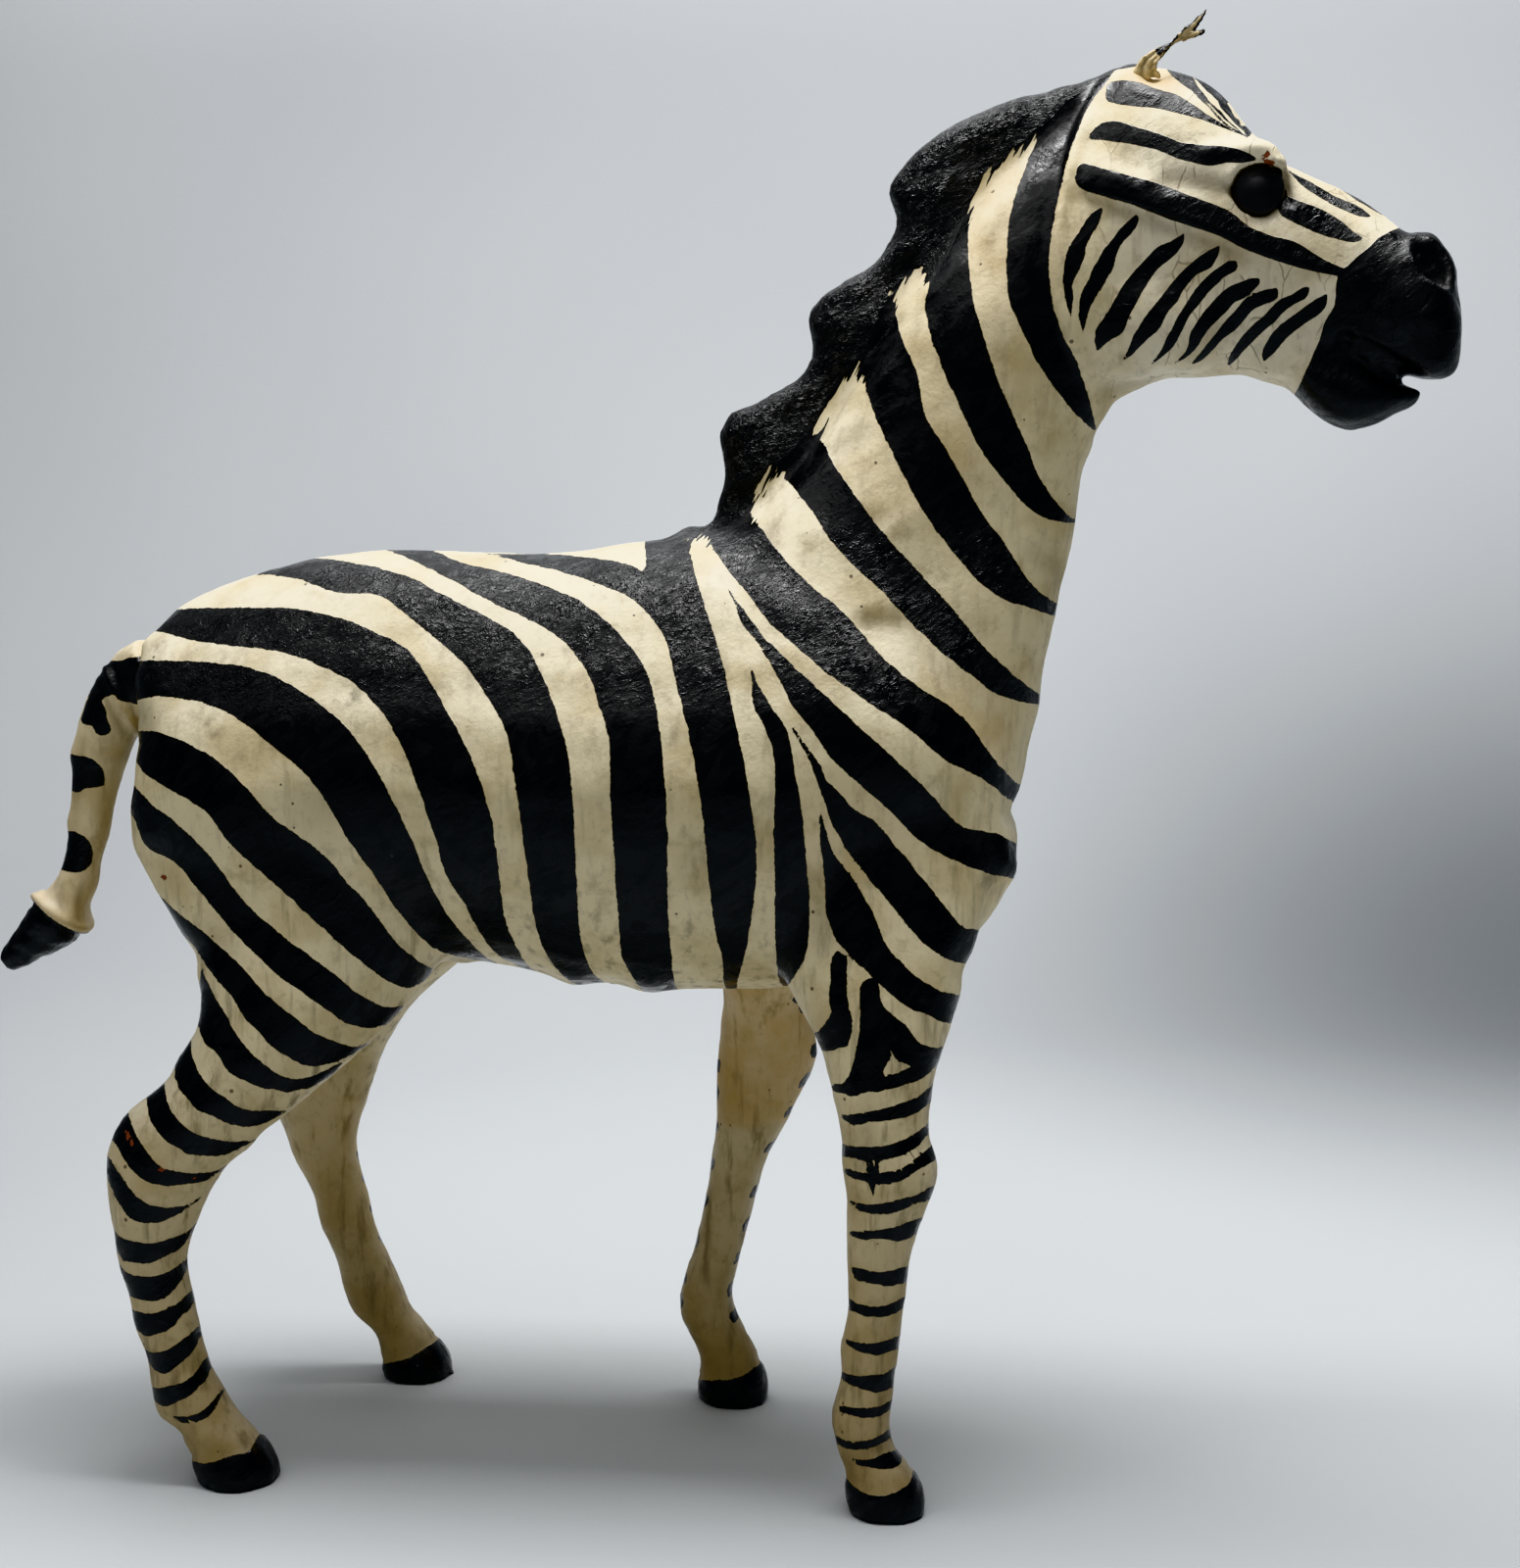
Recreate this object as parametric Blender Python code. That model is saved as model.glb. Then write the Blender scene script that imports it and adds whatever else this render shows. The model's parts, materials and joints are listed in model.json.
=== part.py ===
"""A leather-covered zebra figurine, standing on four hooves.

Metres, +Z up. The zebra faces +X, its right side is -Y, and the origin is on the floor under
the middle of its box. Every profile below is written in millimetres for a figure that stands
PROFILE_HEIGHT tall, and is scaled to FIGURE_HEIGHT by one factor.
"""

import math

import bmesh
import bpy
import numpy as np
from mathutils import Matrix, Vector

# Driving sizes, in millimetres
FIGURE_HEIGHT = 317.7
PROFILE_HEIGHT = 317.7
EYE_DIAMETER = 10.6
EYE_BULGE = 2.6
EAR_LENGTH = 17.0
EAR_ROOT_RADIUS = 2.6
EAR_SOCKET_DEPTH = 3.0
TAIL_ROOT_RADIUS = 7.2
TAIL_SOCKET_DEPTH = 5.0
NOSTRIL_DEPTH = 3.4
MOUTH_GAPE = 5.2
MOUTH_REACH = 20.0
MOUTH_DROP = 2.2
FLOOR_DEPTH = 20.0
FLOOR_REACH = 400.0
GLUE_GAP = 0.3
HEAD_TURN = 10.0

# Fineness of the leather skin
SKIN_VOXEL = 1.3
SKIN_TRIANGLES = 6100
RING_POINTS = 28
TAIL_POINTS = 18
EAR_POINTS = 12
EYE_POINTS = 18
BLEND_PASSES = 26
SKIN_PASSES = 5

MM = 0.001
SCALE = FIGURE_HEIGHT / PROFILE_HEIGHT

# Colours of the paint, the bare leather and the glass, linear
CREAM = (0.66, 0.58, 0.42, 1.0)
TAN = (0.42, 0.27, 0.13, 1.0)
GLASS = (0.01, 0.01, 0.012, 1.0)


def at(x, y, z):
    """A place on the figure, from the profile's millimetres to metres."""
    return Vector((x, y, z)) * SCALE * MM


def paint(name, colour, roughness):
    """One plain painted surface."""
    material = bpy.data.materials.new(name)
    material.use_nodes = True
    shader = material.node_tree.nodes["Principled BSDF"]
    shader.inputs["Base Color"].default_value = colour
    shader.inputs["Roughness"].default_value = roughness
    shader.inputs["Metallic"].default_value = 0.0
    return material


def add_object(name, bm, material=None):
    """The finished bmesh as a named object with smooth shading."""
    bmesh.ops.remove_doubles(bm, verts=bm.verts, dist=0.00001)
    bmesh.ops.recalc_face_normals(bm, faces=bm.faces)
    mesh = bpy.data.meshes.new(name)
    bm.to_mesh(mesh)
    bm.free()
    mesh.shade_smooth()
    if material:
        mesh.materials.append(material)
    obj = bpy.data.objects.new(name, mesh)
    bpy.context.scene.collection.objects.link(obj)
    return obj


def ring(bm, centre, deep, wide, half_deep, half_wide, power=2.0, count=RING_POINTS):
    """One closed section round a limb: deep and wide are the two directions across it."""
    points = []
    count = round(count)
    for k in range(count):
        angle = 2 * math.pi * k / count
        c, s = math.cos(angle), math.sin(angle)
        along_deep = math.copysign(abs(c) ** (2 / power), c) * half_deep
        along_wide = math.copysign(abs(s) ** (2 / power), s) * half_wide
        points.append(bm.verts.new(centre + deep * along_deep + wide * along_wide))
    return points


def skin_rings(bm, rings):
    """Joins the rings in order and closes both ends."""
    count = len(rings[0])
    for near, far in zip(rings, rings[1:]):
        for k in range(count):
            n = (k + 1) % count
            bm.faces.new((near[k], near[n], far[n], far[k]))
    bm.faces.new(reversed(rings[0]))
    bm.faces.new(rings[-1])


def smooth_rows(rows, steps):
    """More stations between the given ones, on a Catmull-Rom curve through them."""
    rows = np.array(rows, float)
    ends = np.vstack([2 * rows[0] - rows[1], rows, 2 * rows[-1] - rows[-2]])
    made = []
    for i in range(1, len(ends) - 2):
        a, b, c, d = ends[i - 1 : i + 3]
        for t in np.linspace(0, 1, steps, endpoint=False):
            curve = 2 * b + (c - a) * t
            curve += (2 * a - 5 * b + 4 * c - d) * t**2 + (3 * b - a - 3 * c + d) * t**3
            made.append(curve / 2)
    made.append(rows[-1])
    return made


def upright_loft(bm, rows, power=2.0, side=0.0, steps=3):
    """A trunk or head: rows of (x, top z, bottom z, half width), each section upright."""
    rings = []
    for x, top, bottom, half in smooth_rows(rows, steps):
        centre = at(x, side, (top + bottom) / 2)
        half_deep = max((top - bottom) / 2, 0.3) * SCALE * MM
        half_wide = max(half, 0.3) * SCALE * MM
        up, across = Vector((0, 0, 1)), Vector((0, 1, 0))
        rings.append(ring(bm, centre, up, across, half_deep, half_wide, power))
    skin_rings(bm, rings)


def paired_loft(bm, rows, power=2.0, steps=3):
    """A neck or limb: rows of (front x, front z, back x, back z, side y, half width)."""
    rings = []
    for front_x, front_z, back_x, back_z, side, half in smooth_rows(rows, steps):
        front, back = at(front_x, side, front_z), at(back_x, side, back_z)
        middle, deep = (front + back) / 2, (front - back).normalized()
        half_deep, half_wide = (front - back).length / 2, half * SCALE * MM
        rings.append(ring(bm, middle, deep, Vector((0, 1, 0)), half_deep, half_wide, power))
    skin_rings(bm, rings)


def ball(bm, centre, radii, turn=0.0):
    """An ellipsoid of muscle or bone, turned about the Y axis by so many degrees."""
    place = Matrix.Translation(at(*centre)) @ Matrix.Rotation(math.radians(turn), 4, "Y")
    size = Matrix.Diagonal((*(r * SCALE * MM for r in radii), 1.0))
    bmesh.ops.create_uvsphere(bm, u_segments=24, v_segments=14, radius=1.0, matrix=place @ size)


# The trunk, rump to chest: x, back line, belly line, half width
TRUNK = [
    (-138.6, 172, 158, 7),
    (-136.8, 184, 149, 17),
    (-132, 191, 138, 26),
    (-121, 197, 120, 32),
    (-103, 202, 113, 36),
    (-83, 204.5, 112, 37.5),
    (-63, 204, 112, 38),
    (-43, 204, 108.5, 39.5),
    (-23, 207, 106.5, 40.5),
    (-3, 209, 106.5, 40),
    (17, 209, 108, 37),
    (35, 201, 113, 33),
    (48, 186, 121, 26),
    (55, 170, 131, 17),
    (58, 158, 141, 8),
]

# The neck, chest to poll: throat x, z, crest x, z, side y, half width
NECK = [
    (50, 128, -28, 200, 0, 33),
    (58, 150, -14, 206, 0, 31),
    (62, 172, -2, 213, 0, 26.5),
    (66, 192, 9, 224, 0, 23),
    (69.5, 208, 18, 237, 0, 20.5),
    (71.3, 223, 26, 252, 0, 19),
    (76, 237, 36, 267, 0, 18),
    (92, 250, 50, 284, 0, 17),
    (104, 262, 66, 298, 0, 14),
]

# The skull from the poll to the upper lip: x, forehead and nose line, jaw and lip line, half width
SKULL = [
    (66.5, 284, 258, 9),
    (69, 296, 248, 14),
    (75, 303, 242, 16),
    (83, 306.5, 240, 17),
    (92, 305.2, 240.6, 17.5),
    (99, 301.2, 241.6, 17.5),
    (105, 293.5, 241.8, 16.5),
    (111, 286.8, 241.2, 14.5),
    (118, 283.2, 240.5, 12.5),
    (125, 279.8, 241, 11.5),
    (132, 275.3, 242, 12),
    (138, 270.5, 242, 12.5),
    (143, 268.5, 242, 12),
    (147, 263.5, 242, 10),
    (149.5, 255, 245.5, 6),
]

# The lower jaw and chin: x, top, bottom, half width
JAW = [
    (104, 250, 243, 8),
    (112, 250, 238.5, 10),
    (119, 249, 234, 10.5),
    (126, 246, 230, 10),
    (133, 242, 231, 8.8),
    (139, 238.5, 234, 6),
    (142, 237, 235.5, 2.5),
]

# The legs, from inside the trunk to just below the floor: front x, z, back x, z, side y, half width
RIGHT_FORE = [
    (52, 150, 2, 140, -16, 17),
    (51, 128, 4, 122, -20, 16),
    (46.5, 111, 10, 109, -24, 14.5),
    (43.5, 101, 15.5, 101, -28, 11.5),
    (40.5, 90, 19, 90, -31, 9.6),
    (40, 81, 21.3, 81, -32.5, 8.6),
    (42, 75, 22, 74.5, -33, 8.6),
    (40.3, 68, 22.2, 68, -33.3, 8.2),
    (37.2, 59, 22.5, 59, -33.6, 7),
    (35.4, 48, 22.4, 48, -34, 6.3),
    (34, 35, 21.2, 35, -34.3, 6.2),
    (32.8, 25, 20.2, 25, -34.6, 6.6),
    (31.8, 19.5, 19.3, 18.5, -34.8, 7.2),
    (33.2, 13.5, 21.2, 12.3, -34.9, 6.5),
    (36.6, 9.8, 22.4, 8.3, -35, 7.4),
    (38.8, 5.5, 22.8, 5.0, -35, 8.4),
    (39.8, 0.6, 23.2, 0.4, -35, 8.8),
    (40.2, -9, 23.4, -9, -35, 8.8),
]
LEFT_FORE = [
    (42, 150, -8, 140, 16, 17),
    (26, 126, -11, 122, 19, 16),
    (13, 109, -11, 109, 22, 14),
    (9.5, 99, -11, 100, 25, 11.5),
    (11, 90, -12, 90, 27, 10),
    (8.8, 80, -13, 80, 28, 9),
    (3.6, 70, -13.1, 70, 28.3, 8.6),
    (-1, 60, -14.2, 60, 28.5, 7.4),
    (-3.8, 49, -16, 49, 28.6, 6.5),
    (-6.8, 37, -18.3, 37, 28.7, 6.2),
    (-8.8, 28, -20, 28, 28.8, 6.3),
    (-8.3, 21.5, -21.4, 20.5, 28.8, 7.1),
    (-5.8, 16.5, -19, 15, 28.8, 6.6),
    (-3.2, 11.5, -17.2, 10.5, 28.8, 6.9),
    (-1.2, 6.5, -17.4, 6, 28.8, 8.1),
    (-0.4, 1, -17.4, 0.8, 28.8, 8.7),
    (0, -9, -17.2, -9, 28.8, 8.7),
]
RIGHT_HIND = [
    (-66, 160, -133, 178, -12, 20),
    (-66, 124, -132.5, 154, -15, 20.5),
    (-72, 109, -131, 136, -18.5, 18),
    (-80.5, 99, -126.5, 124, -22.5, 15.5),
    (-90, 90.5, -121, 109, -26, 13),
    (-99, 83, -120, 98, -28.5, 11),
    (-107.5, 76.5, -126.5, 89.5, -30, 9.8),
    (-113, 71, -136, 82, -31, 9.2),
    (-117, 65.5, -140.3, 73.5, -31.5, 9),
    (-120, 59, -140.2, 63, -32, 8.4),
    (-122.2, 50, -137.5, 53.5, -32.3, 7.2),
    (-121.6, 41, -134.8, 43.5, -32.5, 6.4),
    (-120.2, 33, -133.2, 34.5, -32.6, 6.3),
    (-118.6, 25.5, -131.6, 25, -32.6, 6.7),
    (-115.6, 20.5, -130.8, 17.5, -32.6, 7.2),
    (-112, 14.5, -126, 11.5, -32.6, 6.6),
    (-107.5, 9.8, -123, 6.8, -32.6, 7.4),
    (-104.2, 5, -122, 3, -32.6, 8.5),
    (-103.4, 0.4, -120.5, 0, -32.6, 8.9),
    (-103.2, -9, -120.5, -9, -32.6, 8.9),
]
LEFT_HIND = [
    (-62, 160, -131, 178, 12, 20),
    (-62, 124, -131, 154, 15, 20.5),
    (-68, 112, -129, 136, 19, 18),
    (-77, 104, -126, 122, 23, 15.5),
    (-86, 96, -123, 106, 27, 13),
    (-92, 88, -124.5, 94, 30, 11),
    (-97, 78.5, -128, 84, 32.5, 9.8),
    (-100.5, 69, -126, 73.5, 34.5, 9),
    (-103.5, 60.5, -121.4, 63, 35.5, 8.3),
    (-103, 51, -116.6, 52.5, 36.2, 7),
    (-101, 41, -113, 42, 36.7, 6.3),
    (-98.2, 29.5, -110, 30.3, 37.1, 6.2),
    (-95.6, 22.5, -108.4, 22, 37.3, 6.7),
    (-92.4, 17, -105.8, 15.8, 37.5, 6.9),
    (-88, 12.8, -100.2, 11, 37.5, 6.6),
    (-84.3, 9, -98.8, 6.8, 37.5, 7.5),
    (-81.4, 4.5, -98.3, 3, 37.5, 8.5),
    (-80.6, 0.4, -97.4, 0, 37.5, 8.9),
    (-80.6, -9, -97.4, -9, 37.5, 8.9),
]

# Muscles and bones that stand out of the trunk: centre, radii, turn about Y
MUSCLES = [
    ((28, -19, 142), (20, 14, 30), 24),
    ((26, 19, 142), (20, 14, 30), 24),
    ((-103.5, -20, 152), (32, 16, 36), -20),
    ((-101.5, 20, 152), (32, 16, 36), -20),
    ((44, -11, 138), (13, 14, 20), 12),
    ((44, 11, 138), (13, 14, 20), 12),
]

# Where limbs run into the trunk and the skin is drawn tight across: centre, reach
HOLLOWS = [
    ((28, -22, 112), 30),
    ((6, 20, 108), 30),
    ((-100, -22, 118), 36),
    ((-96, 22, 118), 36),
    ((40, 0, 175), 62),
    ((-20, 0, 200), 40),
    ((76, 0, 246), 16),
    ((0, 0, 212), 34),
    ((52, 0, 142), 24),
    ((-14, 26, 196), 30),
    ((-14, -26, 196), 30),
]

# The mane, withers to poll: root x, z inside the neck, scalloped edge x, z, side y, half width
MANE = [
    (-10, 202, -14, 208.8, 0, 3.5),
    (-2, 208, -9.5, 212, 0, 5),
    (4, 212, -7.3, 217.5, 0, 5.6),
    (8, 217, -8.3, 225.5, 0, 6.6),
    (12, 221, -7, 232.5, 0, 7),
    (17, 226, 1, 238, 0, 6),
    (21, 232, 9, 242.5, 0, 5.2),
    (24, 238, 12, 248, 0, 5.6),
    (27, 244, 11.5, 255, 0, 6.6),
    (31, 249, 15.3, 260.5, 0, 7),
    (35, 254, 23, 264.2, 0, 6),
    (39, 260, 28, 270, 0, 5.4),
    (42, 266, 30, 277, 0, 5.8),
    (46, 272, 30.5, 284.5, 0, 6.8),
    (51, 278, 35.5, 291.3, 0, 7),
    (58, 284, 47, 298, 0, 7),
    (66, 289, 59.5, 301.8, 0, 6.6),
    (76, 293, 73, 304.8, 0, 6),
    (84, 293, 83, 306.5, 0, 5),
]

# Features of the head before it is turned: x, side y, z
NOSE_PIVOT = (80.0, 0.0, 270.0)
EYE_PLACE = (109.0, 14.9, 279.0)
EYE_LOOK = (0.2, 0.97, 0.1)
BROW = ((107.0, 10.4, 284.8), (8.2, 5.3, 4.8))
BROW_TURN = 22.0
CHEEK_RIDGE = [
    (70, 12.5, 284, 3.0),
    (82, 15.0, 280, 3.6),
    (94, 15.6, 275, 3.6),
    (106, 13.6, 269.5, 3.2),
    (118, 10.4, 265, 2.6),
]
JOWL = ((88, 9.6, 254), (19, 8.2, 13))
NOSTRIL_PLACE = (144.2, 10.4, 262.6)
NOSTRIL_RADII = (3.0, 5.2)
NOSTRIL_TILT = 38.0
LIP_ROLL = ((143.5, 0, 245.5), (6.0, 11.0, 4.2))
MOUTH_CORNER = (133.4, 241.7)
EAR_ROOTS = {"right_leather_ear": (85.8, -6.6, 304.6), "left_leather_ear": (80.0, 10.0, 301.5)}
EAR_LEANS = {"right_leather_ear": (0.66, -0.08, 0.74), "left_leather_ear": (-0.35, 0.9, 0.18)}
EAR_BENDS = {"right_leather_ear": (-0.6, 0.0, 0.8), "left_leather_ear": (0.0, 0.0, 1.0)}

# An ear along its length: share of EAR_LENGTH (below 0, of the socket), bend, share of the radius
EAR_SHAPE = [
    (-1.0, 0.0, 1.0),
    (0.06, 0.0, 1.0),
    (0.2, 0.01, 0.86),
    (0.34, 0.035, 0.62),
    (0.48, 0.045, 0.56),
    (0.62, 0.02, 0.6),
    (0.76, -0.015, 0.58),
    (0.9, -0.02, 0.46),
    (1.0, 0.02, 0.24),
]

# The tail's middle line, from the rump's skin to the tuft: x, z, share of the root radius
TAIL = [
    (-141.0, 175.0, 1.0),
    (-146.2, 170.9, 1.02),
    (-150.3, 163.5, 0.93),
    (-152.7, 155.0, 0.81),
    (-154.2, 146.5, 0.7),
    (-155.4, 138.5, 0.64),
    (-157.4, 130.5, 0.63),
    (-160.0, 124.5, 0.75),
]
TUFT = [
    (-161.2, 121.8, 0.97),
    (-164.2, 118.6, 0.92),
    (-168.5, 114.8, 0.72),
    (-172.6, 111.6, 0.53),
    (-175.2, 109.6, 0.33),
]


def tube(bm, rows, count=RING_POINTS, steps=3):
    """A round bar through rows of (x, y, z, radius) in the profile's millimetres."""
    rows = smooth_rows(rows, steps)
    places = [at(*row[:3]) for row in rows]
    bar(bm, places, [row[3] * SCALE * MM for row in rows], count)


def bar(bm, places, radii, count):
    """A round bar through places, all in metres, whose sections don't twist."""
    rings = []
    wide = Vector((0, 1, 0))
    for i, place in enumerate(places):
        along = (places[min(i + 1, len(places) - 1)] - places[max(i - 1, 0)]).normalized()
        wide = wide - along * wide.dot(along)
        if wide.length < 0.5:
            wide = along.orthogonal()
        wide.normalize()
        rings.append(ring(bm, place, wide.cross(along), wide, radii[i], radii[i], count=count))
    skin_rings(bm, rings)


def turn_head(bm_or_points):
    """Turns the head to the figure's right, about an upright line through the poll."""
    turn = Matrix.Rotation(math.radians(-HEAD_TURN), 3, "Z")
    pivot = at(*NOSE_PIVOT)
    if isinstance(bm_or_points, bmesh.types.BMesh):
        bmesh.ops.rotate(bm_or_points, verts=bm_or_points.verts, cent=pivot, matrix=turn)
        return bm_or_points
    return pivot + turn @ (bm_or_points - pivot)


def mirrored(place, side):
    """The same place on the given side of the head: -1 is the right, 1 the left."""
    return (place[0], place[1] * side, place[2])


def head():
    """Skull, jaw, brows, cheek ridges and lips, turned to the figure's right."""
    bm = bmesh.new()
    upright_loft(bm, SKULL, power=2.25)
    upright_loft(bm, JAW, power=2.2)
    ball(bm, *LIP_ROLL)
    for side in (-1, 1):
        ball(bm, mirrored(BROW[0], side), BROW[1], BROW_TURN)
        ball(bm, mirrored(JOWL[0], side), JOWL[1])
        tube(bm, [(x, y * side, z, r) for x, y, z, r in CHEEK_RIDGE])
    return turn_head(bm)


def figure_parts():
    """Every limb as a closed shape of its own, overlapping its neighbours, in one mesh."""
    bm = head()
    upright_loft(bm, TRUNK, power=2.15)
    paired_loft(bm, NECK, power=2.1)
    paired_loft(bm, MANE)
    for leg in (RIGHT_FORE, LEFT_FORE, RIGHT_HIND, LEFT_HIND):
        paired_loft(bm, leg)
    for centre, radii, turn in MUSCLES:
        ball(bm, centre, radii, turn)
    return bm


def evaluated(obj, name):
    """The object's mesh with its modifiers applied, as a new object; the old one is removed."""
    graph = bpy.context.evaluated_depsgraph_get()
    mesh = bpy.data.meshes.new_from_object(obj.evaluated_get(graph))
    mesh.name = name
    bpy.data.objects.remove(obj)
    made = bpy.data.objects.new(name, mesh)
    bpy.context.scene.collection.objects.link(made)
    return made


def smooth_near(obj, centres, passes, group):
    """Draws the skin tight where limbs meet: a smoothing that fades out at each reach."""
    weights = obj.vertex_groups.new(name=group)
    for vertex in obj.data.vertices:
        share = 0.0
        for centre, reach in centres:
            distance = (vertex.co - at(*centre)).length / (reach * SCALE * MM)
            share = max(share, 1 - distance)
        if share > 0:
            weights.add([vertex.index], min(1.0, share * 2), "REPLACE")
    smooth = obj.modifiers.new(group, "SMOOTH")
    smooth.vertex_group = group
    smooth.factor = 0.5
    smooth.iterations = passes


def cutter(name, bm):
    """A helper shape that only cuts."""
    obj = add_object(name, bm)
    obj.hide_render = True
    obj.display_type = "WIRE"
    return obj


def cut(obj, tool):
    boolean = obj.modifiers.new("cut " + tool.name, "BOOLEAN")
    boolean.operation = "DIFFERENCE"
    boolean.object = tool


def floor_cutter():
    """All that lies below the floor, so that the hooves stand flat."""
    bm = bmesh.new()
    depth, reach = FLOOR_DEPTH * SCALE * MM, FLOOR_REACH * SCALE * MM
    place = Matrix.Translation((0, 0, -depth / 2))
    size = Matrix.Diagonal((reach, reach, depth, 1.0))
    bmesh.ops.create_cube(bm, size=1.0, matrix=place @ size)
    return cutter("floor_cutter", bm)


def mouth_cutter():
    """The wedge of the open mouth, between the upper lip and the lower jaw."""
    bm = bmesh.new()
    corner_x, corner_z = MOUTH_CORNER
    # The gape is measured a little behind the lips, so the wedge opens wider at its far end
    flare = 1.6
    rise = MOUTH_GAPE / 2
    for z in (rise, -rise):
        for y in (-MOUTH_REACH, MOUTH_REACH):
            bm.verts.new(at(corner_x + MOUTH_REACH, y, corner_z - MOUTH_DROP + z * flare))
    for y in (-MOUTH_REACH, MOUTH_REACH):
        bm.verts.new(at(corner_x, y, corner_z))
    bmesh.ops.convex_hull(bm, input=bm.verts)
    return cutter("mouth_cutter", turn_head(bm))


def eye_centre(side):
    """The middle of an eyeball, set so far into the head that EYE_BULGE of it stands out."""
    skin = at(*mirrored(EYE_PLACE, side))
    look = Vector(mirrored(EYE_LOOK, side)).normalized()
    return turn_head(skin - look * (EYE_DIAMETER / 2 - EYE_BULGE) * MM)


def eyeball(radius):
    bm = bmesh.new()
    bmesh.ops.create_uvsphere(
        bm, u_segments=EYE_POINTS, v_segments=EYE_POINTS * 2 // 3, radius=radius * MM
    )
    return bm


def eye_socket(name, side):
    bm = eyeball(EYE_DIAMETER / 2 + GLUE_GAP)
    bmesh.ops.translate(bm, verts=bm.verts, vec=eye_centre(side))
    return cutter(name, bm)


def nostril_cutter(name, side):
    """An oval pit in the side of the muzzle, tilted with the nose."""
    bm = bmesh.new()
    short, long = NOSTRIL_RADII
    x, y, z = mirrored(NOSTRIL_PLACE, side)
    ball(bm, (x, y, z), (short, NOSTRIL_DEPTH, long), -NOSTRIL_TILT)
    return cutter(name, turn_head(bm))


def ear_bar(name, extra=0.0):
    """A shrunken, rolled ear: a bar from its socket to a bent tip, with extra added all round."""
    root = turn_head(at(*EAR_ROOTS[name]))
    lean = (turn_head(at(*EAR_ROOTS[name]) + Vector(EAR_LEANS[name])) - root).normalized()
    aside = Vector(EAR_BENDS[name])
    aside = (aside - lean * aside.dot(lean)).normalized()
    places, radii = [], []
    for length, bend, radius in EAR_SHAPE:
        reach = length * EAR_LENGTH if length > 0 else length * EAR_SOCKET_DEPTH
        places.append(root + (lean * reach + aside * bend * EAR_LENGTH) * MM)
        radii.append((EAR_ROOT_RADIUS * radius + extra) * MM)
    places[0] -= lean * extra * MM
    places[-1] += lean * extra * MM
    bm = bmesh.new()
    bar(bm, places, radii, EAR_POINTS)
    return bm


def tail_bar(rows, extra=0.0):
    """The tail from the bottom of its socket on, with extra added all round."""
    root, after = Vector(TAIL[0][:2]), Vector(TAIL[1][:2])
    inward = (root - after).normalized()
    start = root + inward * (TAIL_SOCKET_DEPTH + extra) / SCALE
    middle = [(*start, 1.0), *rows]
    bm = bmesh.new()
    radii = [(share * TAIL_ROOT_RADIUS + extra) / SCALE for _, _, share in middle]
    tube(bm, [(x, 0.0, z, r) for (x, z, _), r in zip(middle, radii)], TAIL_POINTS, 2)
    return bm


def build():
    for obj in list(bpy.data.objects):
        bpy.data.objects.remove(obj, do_unlink=True)

    painted = paint("painted leather", CREAM, 0.42)
    bare = paint("bare leather", TAN, 0.6)
    glass = paint("black glass", GLASS, 0.08)

    rough = add_object("rough_skin", figure_parts())
    remesh = rough.modifiers.new("one skin", "REMESH")
    remesh.mode = "VOXEL"
    remesh.voxel_size = SKIN_VOXEL * SCALE * MM
    skin = evaluated(rough, "leather_body")
    smooth_near(skin, HOLLOWS, BLEND_PASSES, "drawn_tight")
    even = skin.modifiers.new("even skin", "SMOOTH")
    even.factor = 0.5
    even.iterations = SKIN_PASSES
    fewer = skin.modifiers.new("fewer faces", "DECIMATE")
    faces = 2 * len(skin.data.polygons)
    fewer.ratio = min(1.0, SKIN_TRIANGLES / faces)
    body = evaluated(skin, "leather_body")
    body.data.materials.append(painted)
    body.data.shade_smooth()

    for tool in (
        floor_cutter(),
        mouth_cutter(),
        eye_socket("right_eye_socket", -1),
        eye_socket("left_eye_socket", 1),
        nostril_cutter("right_nostril", -1),
        nostril_cutter("left_nostril", 1),
    ):
        cut(body, tool)

    for name, side in (("right_glass_eye", -1), ("left_glass_eye", 1)):
        eye = add_object(name, eyeball(EYE_DIAMETER / 2), glass)
        eye.location = eye_centre(side)

    for name in EAR_ROOTS:
        cut(body, cutter(name + "_socket", ear_bar(name, GLUE_GAP)))
        add_object(name, ear_bar(name), bare)

    cut(body, cutter("tail_socket", tail_bar(TAIL, GLUE_GAP)))
    add_object("leather_tail", tail_bar(TAIL + TUFT), painted)


def stand_over_origin():
    """Moves everything so that the middle of the box stands over the origin."""
    graph = bpy.context.evaluated_depsgraph_get()
    corners = []
    for obj in bpy.data.objects:
        if not obj.hide_render:
            shown = obj.evaluated_get(graph)
            corners += [shown.matrix_world @ vertex.co for vertex in shown.data.vertices]
    low, high = np.min(corners, axis=0), np.max(corners, axis=0)
    for obj in bpy.data.objects:
        obj.location -= Vector(((low[0] + high[0]) / 2, (low[1] + high[1]) / 2, 0.0))


build()
stand_over_origin()
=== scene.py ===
# %% [markdown]
# # A painted leather zebra
# The real figure is thin leather glued over a hard core, painted by hand in cream and black, with
# glass eyes, shrivelled leather ears and a stuffed tail. Its stripes could be painted as an image,
# but a stripe kept as an outline stays sharp at any size, so here each stripe is a list of corners.

# %% Tools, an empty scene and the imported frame
import json
import math

import bmesh
import bpy
import numpy as np
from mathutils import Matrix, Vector, noise

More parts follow.
